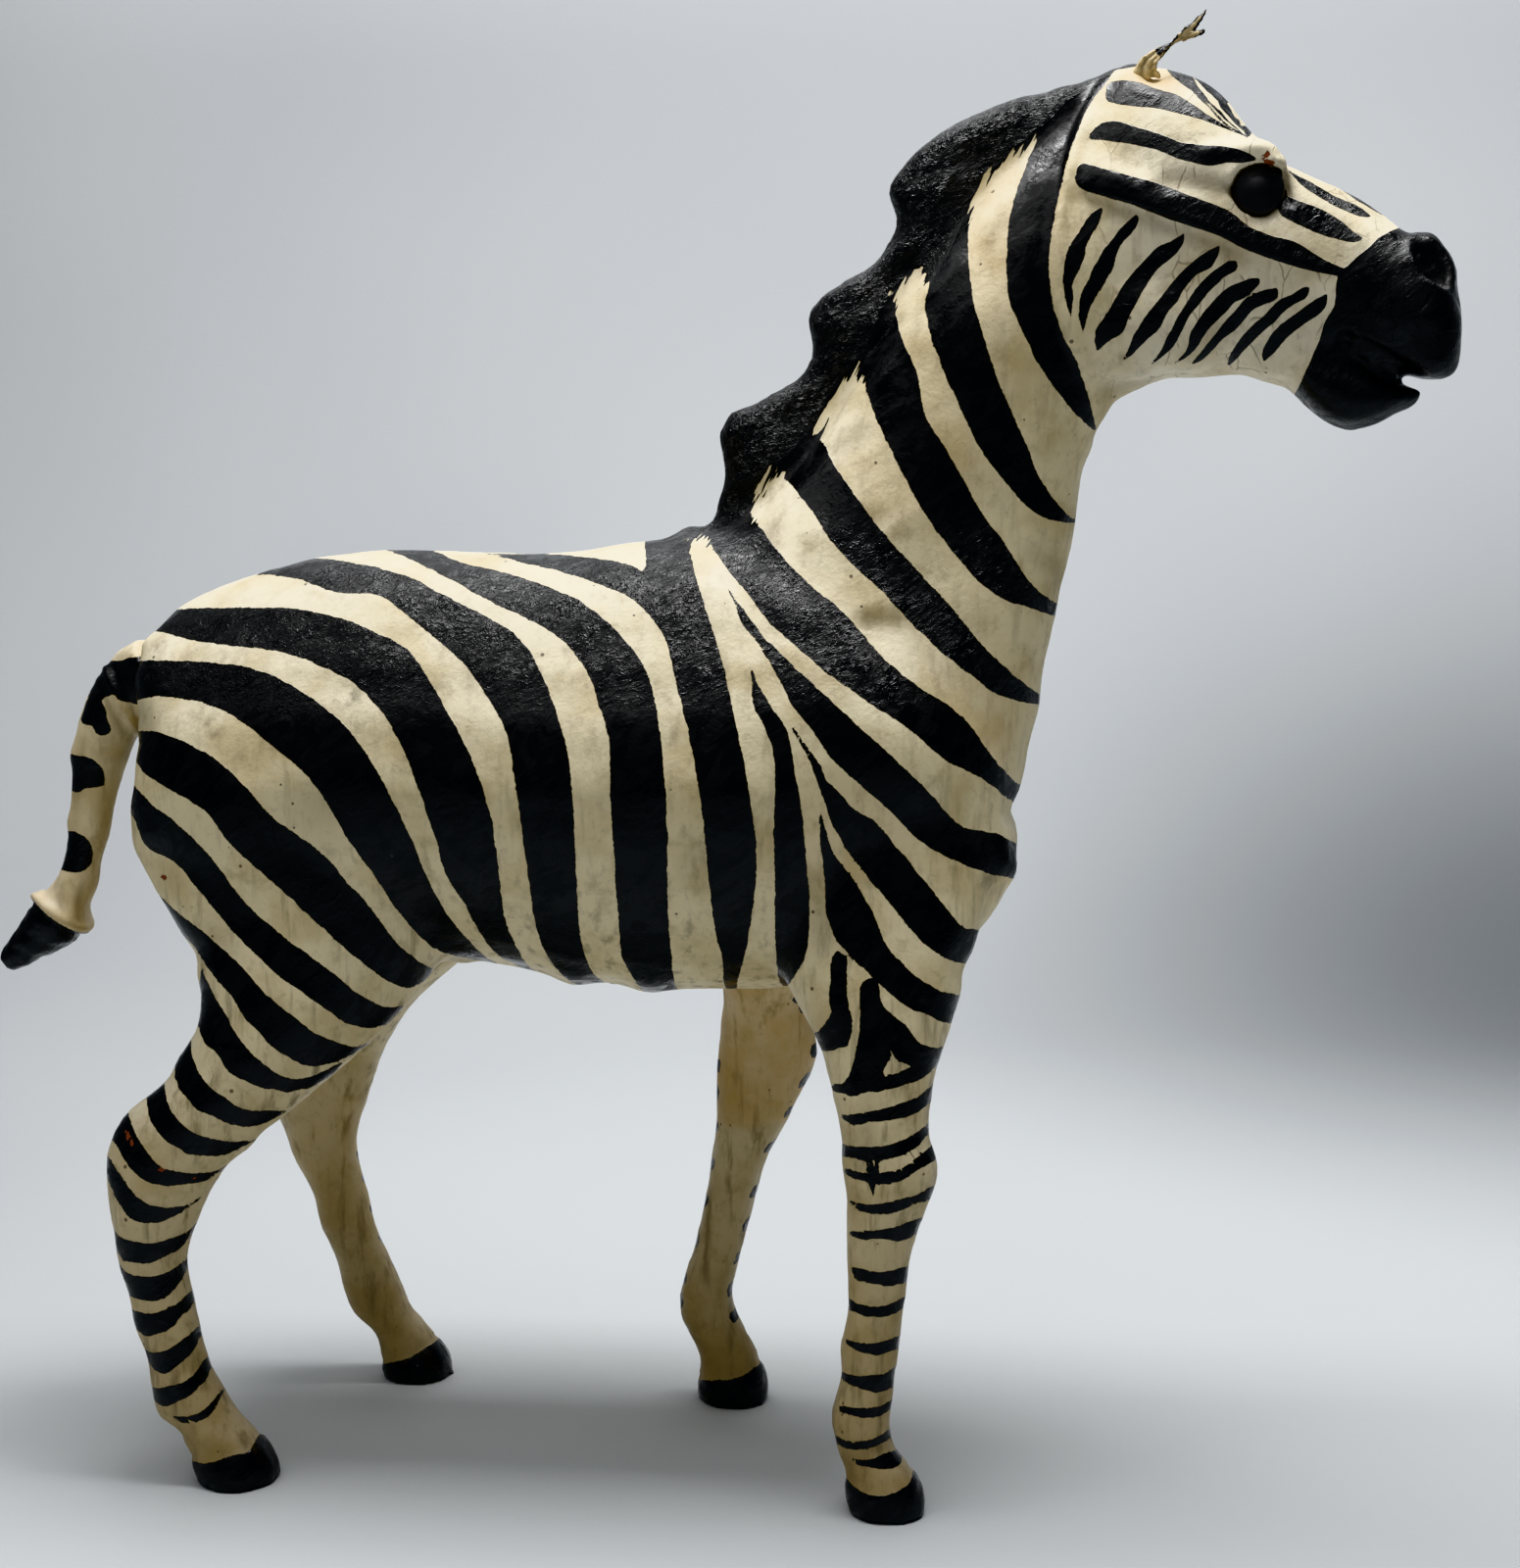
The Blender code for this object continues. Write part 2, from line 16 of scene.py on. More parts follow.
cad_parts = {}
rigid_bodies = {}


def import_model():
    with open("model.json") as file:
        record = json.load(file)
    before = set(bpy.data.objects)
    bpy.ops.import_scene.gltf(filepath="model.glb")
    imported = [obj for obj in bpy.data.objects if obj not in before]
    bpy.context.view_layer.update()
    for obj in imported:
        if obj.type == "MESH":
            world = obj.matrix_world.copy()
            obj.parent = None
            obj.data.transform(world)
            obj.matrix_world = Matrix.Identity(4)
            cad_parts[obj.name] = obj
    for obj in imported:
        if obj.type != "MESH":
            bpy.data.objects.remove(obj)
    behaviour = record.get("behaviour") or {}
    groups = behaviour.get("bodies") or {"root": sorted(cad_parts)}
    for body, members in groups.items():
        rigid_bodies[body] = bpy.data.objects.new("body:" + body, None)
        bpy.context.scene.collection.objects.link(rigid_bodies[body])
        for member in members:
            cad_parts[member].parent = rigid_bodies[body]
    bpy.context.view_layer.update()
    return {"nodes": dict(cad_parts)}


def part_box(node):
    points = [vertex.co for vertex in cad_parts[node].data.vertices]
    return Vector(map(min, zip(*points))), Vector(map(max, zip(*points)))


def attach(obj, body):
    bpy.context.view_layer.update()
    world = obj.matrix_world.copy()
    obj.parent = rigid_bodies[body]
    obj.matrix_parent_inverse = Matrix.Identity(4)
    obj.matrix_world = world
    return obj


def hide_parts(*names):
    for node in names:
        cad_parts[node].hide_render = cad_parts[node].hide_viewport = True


for leftover in list(bpy.data.objects):
    bpy.data.objects.remove(leftover, do_unlink=True)
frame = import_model()
MM = 0.001
print("nodes:", sorted(frame["nodes"]))

# %% [markdown]
# ## The camera
# The photograph looks at the zebra's right side, a little from its front and a little from above.
# The lens follows from its focal length in pixels, and the same numbers serve a second purpose:
# they tell which pixel any point of the figure falls on, so a stripe read in the photograph can be
# laid on the model where it belongs.

# %% Camera
PHOTO_WIDE, PHOTO_HIGH = 1551, 1600
FOCAL_PIXELS = 2455.0
HORIZON_PIXEL = 550.0
CAMERA_PLACE = Vector((0.07008, -0.5338, 0.207))
CAMERA_SIDEWAYS = math.radians(6.0)
SENSOR_WIDE = 36.0

dip = math.atan((PHOTO_HIGH / 2 - HORIZON_PIXEL) / FOCAL_PIXELS)
ahead_x, ahead_y = -math.sin(CAMERA_SIDEWAYS), math.cos(CAMERA_SIDEWAYS)
LOOK = Vector((ahead_x * math.cos(dip), ahead_y * math.cos(dip), -math.sin(dip)))
RIGHT = Vector((ahead_y, -ahead_x, 0.0))
UP = RIGHT.cross(LOOK)

camera = bpy.data.objects.new("camera", bpy.data.cameras.new("camera"))
bpy.context.scene.collection.objects.link(camera)
camera.location = CAMERA_PLACE
camera.rotation_euler = LOOK.to_track_quat("-Z", "Y").to_euler()
camera.data.sensor_width = SENSOR_WIDE
camera.data.lens = FOCAL_PIXELS / max(PHOTO_WIDE, PHOTO_HIGH) * SENSOR_WIDE
camera.data.clip_start = 0.01
bpy.context.scene.camera = camera
print(f"lens {camera.data.lens:.1f} mm, looking down {math.degrees(dip):.1f} degrees")


# %% Where a point falls in the photograph
def photo_pixels(points):
    """Pixels, and pixels per millimetre, of points given in millimetres."""
    away = np.asarray(points) * MM - np.array(CAMERA_PLACE)
    depth = away @ np.array(LOOK)
    across = PHOTO_WIDE / 2 + FOCAL_PIXELS * (away @ np.array(RIGHT)) / depth
    down = PHOTO_HIGH / 2 - FOCAL_PIXELS * (away @ np.array(UP)) / depth
    return np.stack([across, down], axis=1), FOCAL_PIXELS / depth * MM


# %% [markdown]
# ## The leather skin
# The CAD body has about six thousand flat triangles, which is enough to collide with and too
# coarse to paint on. A voxel remesh gives an even grid of small squares, and a smoothing that
# alternately shrinks and swells rounds the old facets while the legs keep their thickness.

# %% Helpers for shaping a mesh
def only(obj):
    """Selects this object alone and makes it active."""
    if bpy.context.mode != "OBJECT":
        bpy.ops.object.mode_set(mode="OBJECT")
    bpy.ops.object.select_all(action="DESELECT")
    obj.select_set(True)
    bpy.context.view_layer.objects.active = obj
    return obj


def apply_modifier(obj, kind, **settings):
    modifier = obj.modifiers.new(kind.lower(), kind)
    for key, value in settings.items():
        setattr(modifier, key, value)
    only(obj)
    bpy.ops.object.modifier_apply(modifier=modifier.name)


def read(layer, key):
    """A direction or place of every vertex or face, as rows of three numbers."""
    flat = np.empty(len(layer) * 3, np.float32)
    layer.foreach_get(key, flat)
    return flat.reshape(-1, 3)


def places_of(obj):
    """The vertices in millimetres."""
    return read(obj.data.vertices, "co").astype(float) / MM


def normals_of(obj):
    return read(obj.data.vertices, "normal").astype(float)


def put_places(obj, points):
    obj.data.vertices.foreach_set("co", (points * MM).astype(np.float32).ravel())
    obj.data.update()


def edge_ends(obj):
    """The two vertices of each edge, and how many edges meet at each vertex."""
    flat = np.empty(len(obj.data.edges) * 2, np.int32)
    obj.data.edges.foreach_get("vertices", flat)
    return flat[0::2], flat[1::2], np.bincount(flat, minlength=len(obj.data.vertices))


def neighbours_mean(ends, values):
    """The mean of one number per vertex over the vertices that edges join to each."""
    one, other, count = ends
    total = np.bincount(one, values[other], len(values))
    return (total + np.bincount(other, values[one], len(values))) / count


def even_out(obj, passes, shrink=0.5, swell=-0.53):
    """Smooths without thinning: each pass moves towards the neighbours, then back a little more."""
    points, ends = places_of(obj), edge_ends(obj)
    for _ in range(passes):
        for step in (shrink, swell):
            means = np.stack([neighbours_mean(ends, column) for column in points.T], axis=1)
            points += (means - points) * step
    put_places(obj, points)


def skin_from(node, name, cell):
    """A finer copy of a CAD node, merged and remeshed into even squares."""
    mesh = frame["nodes"][node].data.copy()
    mesh.name = name
    mesh.materials.clear()
    obj = bpy.data.objects.new(name, mesh)
    bpy.context.scene.collection.objects.link(obj)
    only(obj)
    bpy.ops.object.mode_set(mode="EDIT")
    bpy.ops.mesh.select_all(action="SELECT")
    bpy.ops.mesh.remove_doubles(threshold=0.01 * MM)
    bpy.ops.object.mode_set(mode="OBJECT")
    apply_modifier(obj, "REMESH", mode="VOXEL", voxel_size=cell * MM)
    return obj


def subdivide(obj, kind, picked):
    """Cuts the picked faces, or the picked edges, in half each way."""
    only(obj)
    bpy.ops.object.mode_set(mode="EDIT")
    bpy.ops.mesh.select_all(action="DESELECT")
    bpy.ops.mesh.select_mode(type=kind)
    bpy.ops.object.mode_set(mode="OBJECT")
    layer = obj.data.polygons if kind == "FACE" else obj.data.edges
    layer.foreach_set("select", picked)
    bpy.ops.object.mode_set(mode="EDIT")
    bpy.ops.mesh.subdivide(number_cuts=1)
    bpy.ops.object.mode_set(mode="OBJECT")


def subdivide_where(obj, chosen):
    """Cuts the squares whose middle is chosen into four."""
    subdivide(obj, "FACE", chosen(read(obj.data.polygons, "center") / MM))


def triangles(obj):
    return sum(len(face.vertices) - 2 for face in obj.data.polygons)


# %% The body's skin
SKIN_CELL = 1.68
HEAD_FROM_X, HEAD_FROM_Z = 78.0, 228.0


def on_the_head(middles):
    return (middles[:, 0] > HEAD_FROM_X) & (middles[:, 2] > HEAD_FROM_Z)


body = skin_from("leather_body", "painted_skin", SKIN_CELL)
even_out(body, 26)
subdivide_where(body, on_the_head)
even_out(body, 3)
print("skin:", len(body.data.vertices), "vertices,", triangles(body), "triangles")

# %% [markdown]
# ## Left, right and the legs
# The photograph shows one side. The stripes of the other side are its mirror image, about the
# middle plane for the trunk and about the turned head's own middle for the face. Each far leg
# stands elsewhere than its near twin, so there the pattern is carried from leg to leg, by their
# middle lines, which are measured on the skin itself.

# %% Middle lines of the legs
MIDLINE = -1.304
HEAD_PIVOT = np.array([93.68, MIDLINE, 0.0])
HEAD_TURN = math.radians(10.0)
HEAD_ACROSS = np.array([math.sin(HEAD_TURN), math.cos(HEAD_TURN), 0.0])
LEG_LEVELS = np.arange(3.0, 100.0, 4.0)
SLAB_HALF = 2.5
FORE_FROM, HIND_TO = -30.0, -55.0


def ramp(values, low, high):
    """0 below low, 1 above high, and a smooth rise between."""
    share = np.clip((values - low) / (high - low), 0.0, 1.0)
    return share * share * (3 - 2 * share)


def bell(values, width):
    """1 at zero, fading softly on both sides."""
    return np.exp(-((values / width) ** 2))


def middle_line(points, chosen):
    """x and y of a leg's middle, and half its depth, at each level."""
    rows = []
    for level in LEG_LEVELS:
        slab = points[chosen & (abs(points[:, 2] - level) < SLAB_HALF)]
        low, high = slab.min(axis=0), slab.max(axis=0)
        rows.append([*((low + high) / 2)[:2], (high[0] - low[0]) / 2])
    return np.array(rows)


skin_points = places_of(body)
LEGS = {}
for side, on_side in (("near", skin_points[:, 1] <= MIDLINE), ("far", skin_points[:, 1] > MIDLINE)):
    LEGS[side, "fore"] = middle_line(skin_points, on_side & (skin_points[:, 0] > FORE_FROM))
    LEGS[side, "hind"] = middle_line(skin_points, on_side & (skin_points[:, 0] < HIND_TO))


def leg_at(side, end, z, column):
    """A leg's middle (column 0 for x, 1 for y) or half its depth (column 2) at these heights."""
    return np.interp(z, LEG_LEVELS, LEGS[side, end][:, column])


# %% Where any point would fall if it were on the side that the photograph shows
LEG_TOP, LEG_FADE = 92.0, 116.0
FORE_HIND_PARTING = -45.0
NECK_END_X, HEAD_START_X = 79.7, 99.7
NECK_END_Z, HEAD_START_Z = 222.0, 244.0


def head_share(points):
    """1 on the turned head, 0 on the neck and body."""
    forward = ramp(points[:, 0], NECK_END_X, HEAD_START_X)
    return forward * ramp(points[:, 2], NECK_END_Z, HEAD_START_Z)


def sides(points):
    """How far each point is beyond the middle, towards the figure's left."""
    share = head_share(points)
    turned = (points - HEAD_PIVOT) @ HEAD_ACROSS
    return (points[:, 1] - MIDLINE) * (1 - share) + turned * share


def shown_twin(points):
    """Each point, or its mirror image where it lies on the side turned away."""
    twin = points.copy()
    far = sides(points) > 0
    plain = points.copy()
    plain[:, 1] = 2 * MIDLINE - plain[:, 1]
    offset = (points - HEAD_PIVOT) @ HEAD_ACROSS
    turned = points - 2 * offset[:, None] * HEAD_ACROSS
    share = head_share(points)[:, None]
    twin[far] = (plain * (1 - share) + turned * share)[far]
    leg = 1 - ramp(points[:, 2], LEG_TOP, LEG_FADE)
    for end in ("fore", "hind"):
        legs = (leg > 0) & ((points[:, 0] > FORE_HIND_PARTING) == (end == "fore"))
        mine = far & legs
        x, y, z = points[mine].T
        moved_x = x - leg_at("far", end, z, 0) + leg_at("near", end, z, 0)
        moved_y = leg_at("near", end, z, 1) - (y - leg_at("far", end, z, 1))
        part = leg[mine][:, None]
        twin[mine] = twin[mine] * (1 - part) + np.stack([moved_x, moved_y, z], axis=1) * part
        inner = np.minimum(twin[legs][:, 1], leg_at("near", end, points[legs][:, 2], 1))
        twin[legs, 1] = twin[legs, 1] * (1 - leg[legs]) + inner * leg[legs]
    return twin


twin_pixels, pixels_per_mm = photo_pixels(shown_twin(skin_points))
print("pixels per millimetre:", pixels_per_mm.min().round(2), pixels_per_mm.max().round(2))

# %% [markdown]
# ## The stripes
# Every stripe of this coat is its own shape, so each is written as two edges that run the same
# way, in pixels of the photograph. Curves are drawn through the corners, and every vertex of the
# skin is told how far it is from the nearest edge. The paint's material then only asks whether
# that distance is above or below zero, and may roughen the edge a little as a brush does.

# %% Stripes of the trunk and neck: upper or right edge, then lower or left edge
TRUNK_STRIPES = [
    ([(92, 668), (111, 675), (152, 674), (197, 675), (251, 680), (299, 700), (341, 730), (367, 759),
      (395, 806), (420, 857), (439, 902), (459, 937), (487, 969), (506, 984)],
     [(100, 700), (124, 717), (162, 710), (207, 717), (242, 733), (277, 761), (315, 793), (337, 825),
      (357, 860), (379, 889), (404, 927), (430, 956), (452, 972), (506, 984)]),
    ([(170, 626), (188, 621), (251, 620), (302, 621), (348, 631), (394, 650), (419, 666), (445, 706),
      (473, 757), (490, 797), (503, 844), (510, 899), (516, 940), (532, 975), (546, 996)],
     [(140, 642), (156, 643), (213, 656), (283, 664), (325, 679), (363, 698), (392, 730), (411, 765),
      (427, 806), (443, 851), (455, 892), (475, 924), (494, 959), (513, 978), (546, 996)]),
    ([(260, 574), (312, 569), (366, 575), (418, 589), (455, 608), (500, 631), (529, 650), (551, 685),
      (572, 739), (582, 788), (586, 851), (589, 914), (591, 949), (600, 984), (617, 1009), (640, 1030)],
     [(240, 588), (267, 586), (309, 592), (341, 604), (385, 607), (414, 626), (446, 653), (475, 679),
      (497, 710), (516, 746), (523, 781), (530, 833), (537, 879), (544, 931), (554, 967), (572, 995),
      (600, 1024)]),
    ([(390, 556), (439, 561), (470, 574), (523, 586), (575, 605), (610, 626), (642, 658), (660, 686),
      (670, 724), (677, 781), (681, 851), (681, 914), (684, 967), (688, 1009), (691, 1034)],
     [(380, 560), (400, 563), (446, 584), (498, 612), (540, 632), (575, 654), (600, 686), (610, 717),
      (621, 753), (623, 809), (626, 865), (631, 938), (635, 977), (649, 1005), (660, 1034)]),
    ([(470, 560), (502, 565), (554, 565), (596, 568), (639, 575), (658, 582), (658, 551), (658, 520),
      (703, 520), (703, 546), (705, 570), (716, 609), (730, 651), (740, 689), (751, 739), (761, 788),
      (770, 844), (772, 886), (768, 928), (761, 970), (751, 1005), (748, 1030)],
     [(470, 561), (502, 566), (533, 574), (575, 584), (617, 598), (646, 612), (667, 633), (681, 658),
      (691, 700), (702, 746), (712, 798), (719, 851), (723, 896), (730, 953), (737, 977), (738, 1005),
      (738, 1030)]),
    ([(768, 684), (775, 702), (789, 724), (803, 747), (813, 798), (819, 837), (823, 879), (826, 924),
      (824, 967), (814, 991), (801, 1010)],
     [(767, 684), (768, 717), (779, 739), (789, 767), (791, 805), (789, 851), (791, 903), (791, 956),
      (795, 1005), (801, 1010)]),
    ([(809, 742), (824, 763), (838, 782), (843, 796), (855, 807), (871, 825), (893, 838), (919, 869),
      (942, 897), (965, 926), (982, 946), (1000, 948)],
     [(809, 744), (822, 768), (829, 784), (836, 803), (841, 819), (851, 844), (866, 869), (888, 898),
      (905, 918), (925, 943), (947, 966), (972, 981), (996, 984)]),
    ([(837, 828), (842, 845), (852, 873), (874, 902), (891, 932), (898, 950), (904, 962), (911, 974),
      (922, 983), (930, 993), (941, 1000), (951, 1007), (962, 1012), (985, 1017)],
     [(836, 830), (837, 863), (841, 894), (843, 932), (854, 960), (861, 968), (875, 983), (889, 996),
      (906, 1012), (916, 1021), (930, 1030), (944, 1034), (956, 1041), (975, 1045)]),
    ([(743, 600), (750, 611), (759, 622), (773, 642), (795, 665), (825, 694), (856, 722), (887, 751),
      (919, 780), (951, 812), (981, 843), (1016, 850), (1035, 860), (1052, 863)],
     [(743, 602), (750, 616), (758, 637), (770, 652), (788, 680), (808, 719), (828, 744), (850, 776),
      (879, 802), (907, 827), (930, 850), (957, 870), (1004, 890), (1036, 897), (1050, 902)]),
    ([(740, 490), (764, 524), (777, 540), (799, 569), (828, 598), (859, 623), (879, 646), (904, 674),
      (936, 700), (971, 722), (993, 744), (1013, 773), (1038, 799), (1056, 806)],
     [(703, 520), (721, 550), (735, 570), (752, 593), (767, 610), (783, 633), (808, 655), (837, 681),
      (872, 706), (904, 728), (933, 748), (965, 776), (1003, 795), (1028, 815), (1054, 828)]),
    ([(815, 400), (832, 435), (848, 468), (873, 507), (907, 550), (939, 585), (971, 620), (997, 652),
      (1025, 681), (1060, 708), (1082, 716)],
     [(775, 448), (793, 479), (807, 494), (828, 521), (847, 550), (876, 582), (904, 607), (933, 639),
      (971, 674), (993, 690), (1019, 709), (1057, 719), (1082, 722)]),
    ([(903, 270), (912, 304), (918, 340), (936, 382), (943, 422), (961, 451), (983, 489), (1006, 530),
      (1028, 559), (1051, 595), (1075, 614), (1094, 622)],
     [(868, 345), (879, 379), (893, 425), (920, 480), (942, 521), (973, 564), (999, 593), (1023, 611),
      (1057, 622), (1075, 628), (1094, 628)]),
    ([(988, 200), (988, 261), (993, 307), (1007, 354), (1021, 396), (1043, 443), (1061, 488), (1077, 511),
      (1094, 529), (1112, 532)],
     [(943, 270), (943, 307), (951, 347), (971, 396), (996, 450), (1010, 472), (1029, 496), (1045, 514),
      (1061, 526), (1078, 532), (1112, 534)]),
    ([(1145, 62), (1133, 79), (1111, 108), (1098, 138), (1088, 170), (1079, 207), (1071, 250), (1072, 296),
      (1082, 336), (1098, 368), (1107, 393), (1113, 415), (1119, 440)],
     [(1055, 120), (1055, 139), (1043, 179), (1030, 221), (1027, 279), (1032, 314), (1050, 350),
      (1059, 371), (1079, 400), (1100, 425), (1119, 441)]),
]

# %% Stripes of the rump and the thigh of the near hind leg
RUMP_STRIPES = [
    ([(134, 744), (140, 746), (159, 747), (188, 757), (219, 774), (248, 800), (264, 819), (283, 838),
      (315, 860), (337, 879), (353, 899), (379, 927), (403, 960), (421, 976), (435, 986), (443, 990)],
     [(134, 770), (139, 777), (152, 793), (180, 809), (210, 828), (229, 854), (258, 883), (290, 911),
      (315, 934), (343, 960), (364, 978), (387, 996), (408, 1006), (419, 1008), (430, 1003), (443, 990)]),
    ([(130, 796), (138, 803), (156, 822), (178, 838), (201, 859), (223, 885), (245, 915), (267, 937),
      (292, 958), (318, 977), (341, 994), (364, 1013), (387, 1025), (398, 1028), (412, 1027)],
     [(130, 826), (138, 838), (149, 864), (178, 879), (200, 905), (226, 937), (247, 960), (265, 977),
      (284, 996), (302, 1008), (325, 1025), (338, 1034), (353, 1044), (371, 1049), (385, 1048),
      (396, 1043), (412, 1027)]),
    ([(138, 892), (156, 908), (188, 937), (203, 947), (218, 960), (238, 978), (252, 992), (265, 1008),
      (284, 1025), (302, 1039), (320, 1053), (343, 1063), (364, 1068), (378, 1064)],
     [(138, 898), (152, 916), (174, 944), (195, 962), (206, 978), (219, 997), (235, 1015), (247, 1033),
      (254, 1044), (265, 1054), (274, 1066), (293, 1078), (307, 1086), (320, 1088), (343, 1084),
      (357, 1077), (378, 1064)]),
    ([(205, 982), (207, 994), (215, 1008), (222, 1022), (231, 1036), (238, 1050), (247, 1063), (261, 1079),
      (274, 1090), (288, 1098), (302, 1101), (320, 1098), (338, 1089), (352, 1082)],
     [(205, 984), (204, 1000), (199, 1020), (200, 1038), (203, 1050), (210, 1066), (217, 1070),
      (224, 1079), (233, 1093), (247, 1102), (265, 1110), (281, 1112), (293, 1115), (302, 1113),
      (313, 1111), (325, 1105), (340, 1096), (352, 1082)]),
    ([(195, 1050), (195, 1062), (196, 1077), (203, 1095), (215, 1109), (229, 1120), (245, 1130),
      (261, 1133), (279, 1133), (295, 1131), (314, 1115)],
     [(186, 1052), (180, 1072), (178, 1093), (181, 1107), (191, 1121), (201, 1132), (215, 1138),
      (229, 1145), (245, 1149), (256, 1149), (270, 1146), (284, 1139), (297, 1131), (314, 1115)]),
    ([(168, 1090), (168, 1102), (169, 1118), (173, 1130), (185, 1146), (201, 1157), (219, 1163),
      (238, 1165), (256, 1164), (267, 1159)],
     [(152, 1100), (150, 1115), (150, 1128), (153, 1141), (160, 1153), (169, 1164), (180, 1171),
      (196, 1179), (215, 1179), (229, 1179), (242, 1173), (254, 1168), (267, 1159)]),
    ([(128, 1128), (132, 1139), (137, 1153), (146, 1169), (157, 1183), (167, 1192), (178, 1195),
      (196, 1197), (215, 1196), (238, 1186)],
     [(112, 1138), (112, 1150), (114, 1162), (120, 1171), (128, 1185), (139, 1199), (153, 1207),
      (169, 1210), (187, 1209), (203, 1207), (219, 1200), (238, 1186)]),
    ([(106, 1170), (112, 1182), (121, 1196), (130, 1210), (141, 1222), (155, 1230), (173, 1232),
      (192, 1229), (209, 1219)],
     [(105, 1182), (109, 1200), (115, 1215), (123, 1231), (134, 1244), (148, 1248), (164, 1247),
      (178, 1241), (192, 1233), (209, 1219)]),
]

# %% Bands of the near hind leg, each from its back edge to its front edge
HIND_BANDS = [
    ([(110, 1236), (119, 1255), (127, 1263), (138, 1267), (154, 1269), (163, 1267), (177, 1262),
      (186, 1258), (200, 1247)],
     [(110, 1242), (116, 1261), (119, 1275), (125, 1283), (133, 1288), (144, 1289), (150, 1291),
      (157, 1287), (169, 1281), (180, 1276), (187, 1269), (200, 1247)]),
    ([(117, 1276), (121, 1284), (127, 1295), (136, 1301), (150, 1303), (163, 1301), (177, 1294),
      (186, 1286), (194, 1274)],
     [(117, 1280), (123, 1301), (129, 1316), (136, 1324), (146, 1327), (159, 1327), (171, 1322),
      (180, 1312), (188, 1297), (194, 1274)]),
    ([(129, 1324), (133, 1332), (138, 1337), (150, 1340), (163, 1339), (177, 1331), (186, 1324),
      (199, 1311)],
     [(129, 1328), (136, 1347), (142, 1358), (150, 1363), (159, 1362), (171, 1358), (178, 1352),
      (184, 1343), (194, 1333), (199, 1311)]),
    ([(146, 1376), (153, 1379), (159, 1380), (171, 1377), (182, 1370), (194, 1360), (205, 1348)],
     [(148, 1382), (155, 1393), (159, 1398), (167, 1402), (175, 1399), (184, 1391), (196, 1379),
      (202, 1366), (206, 1350)]),
    ([(150, 1412), (156, 1415), (167, 1415), (180, 1413), (192, 1407), (201, 1396), (213, 1380)],
     [(151, 1417), (157, 1425), (163, 1433), (169, 1435), (178, 1432), (192, 1425), (201, 1416),
      (209, 1407), (215, 1390)]),
    ([(178, 1445), (183, 1446), (196, 1444), (207, 1439), (217, 1429), (228, 1414)],
     [(180, 1449), (190, 1453), (200, 1452), (211, 1446), (219, 1438), (228, 1418)]),
]

# %% The two patches and the bands of the near fore leg
FORE_PATCHES = [
    ([(848, 978), (851, 972), (856, 971), (863, 975), (865, 981), (864, 995), (865, 1019), (869, 1036),
      (870, 1050), (868, 1062), (863, 1069)],
     [(848, 990), (847, 1002), (846, 1019), (848, 1033), (844, 1041), (837, 1050), (829, 1056),
      (831, 1066), (839, 1072), (848, 1073), (855, 1070), (863, 1069)]),
    ([(877, 1008), (881, 1001), (888, 999), (894, 1000), (897, 1005), (898, 1015), (900, 1026),
      (906, 1031), (916, 1040), (925, 1047), (932, 1058), (937, 1065), (944, 1066), (951, 1069),
      (958, 1070), (970, 1065)],
     [(877, 1019), (878, 1036), (876, 1053), (873, 1074), (870, 1088), (866, 1098), (860, 1105),
      (848, 1107), (850, 1113), (861, 1117), (870, 1120), (877, 1117), (884, 1114), (892, 1115),
      (903, 1112), (916, 1110), (927, 1106), (939, 1102), (947, 1095), (956, 1088), (961, 1081),
      (970, 1068)]),
]
DRIPS = [
    ([(885, 1180), (886, 1192), (886, 1200)], 3.5),
    ([(889, 1178), (890, 1200), (891, 1222)], 5.0),
    ([(895, 1180), (895, 1196), (895, 1204)], 3.0),
]
FORE_WINDOW = [(909, 1072), (916, 1083), (929, 1088), (920, 1093), (910, 1097), (898, 1099), (904, 1088)]
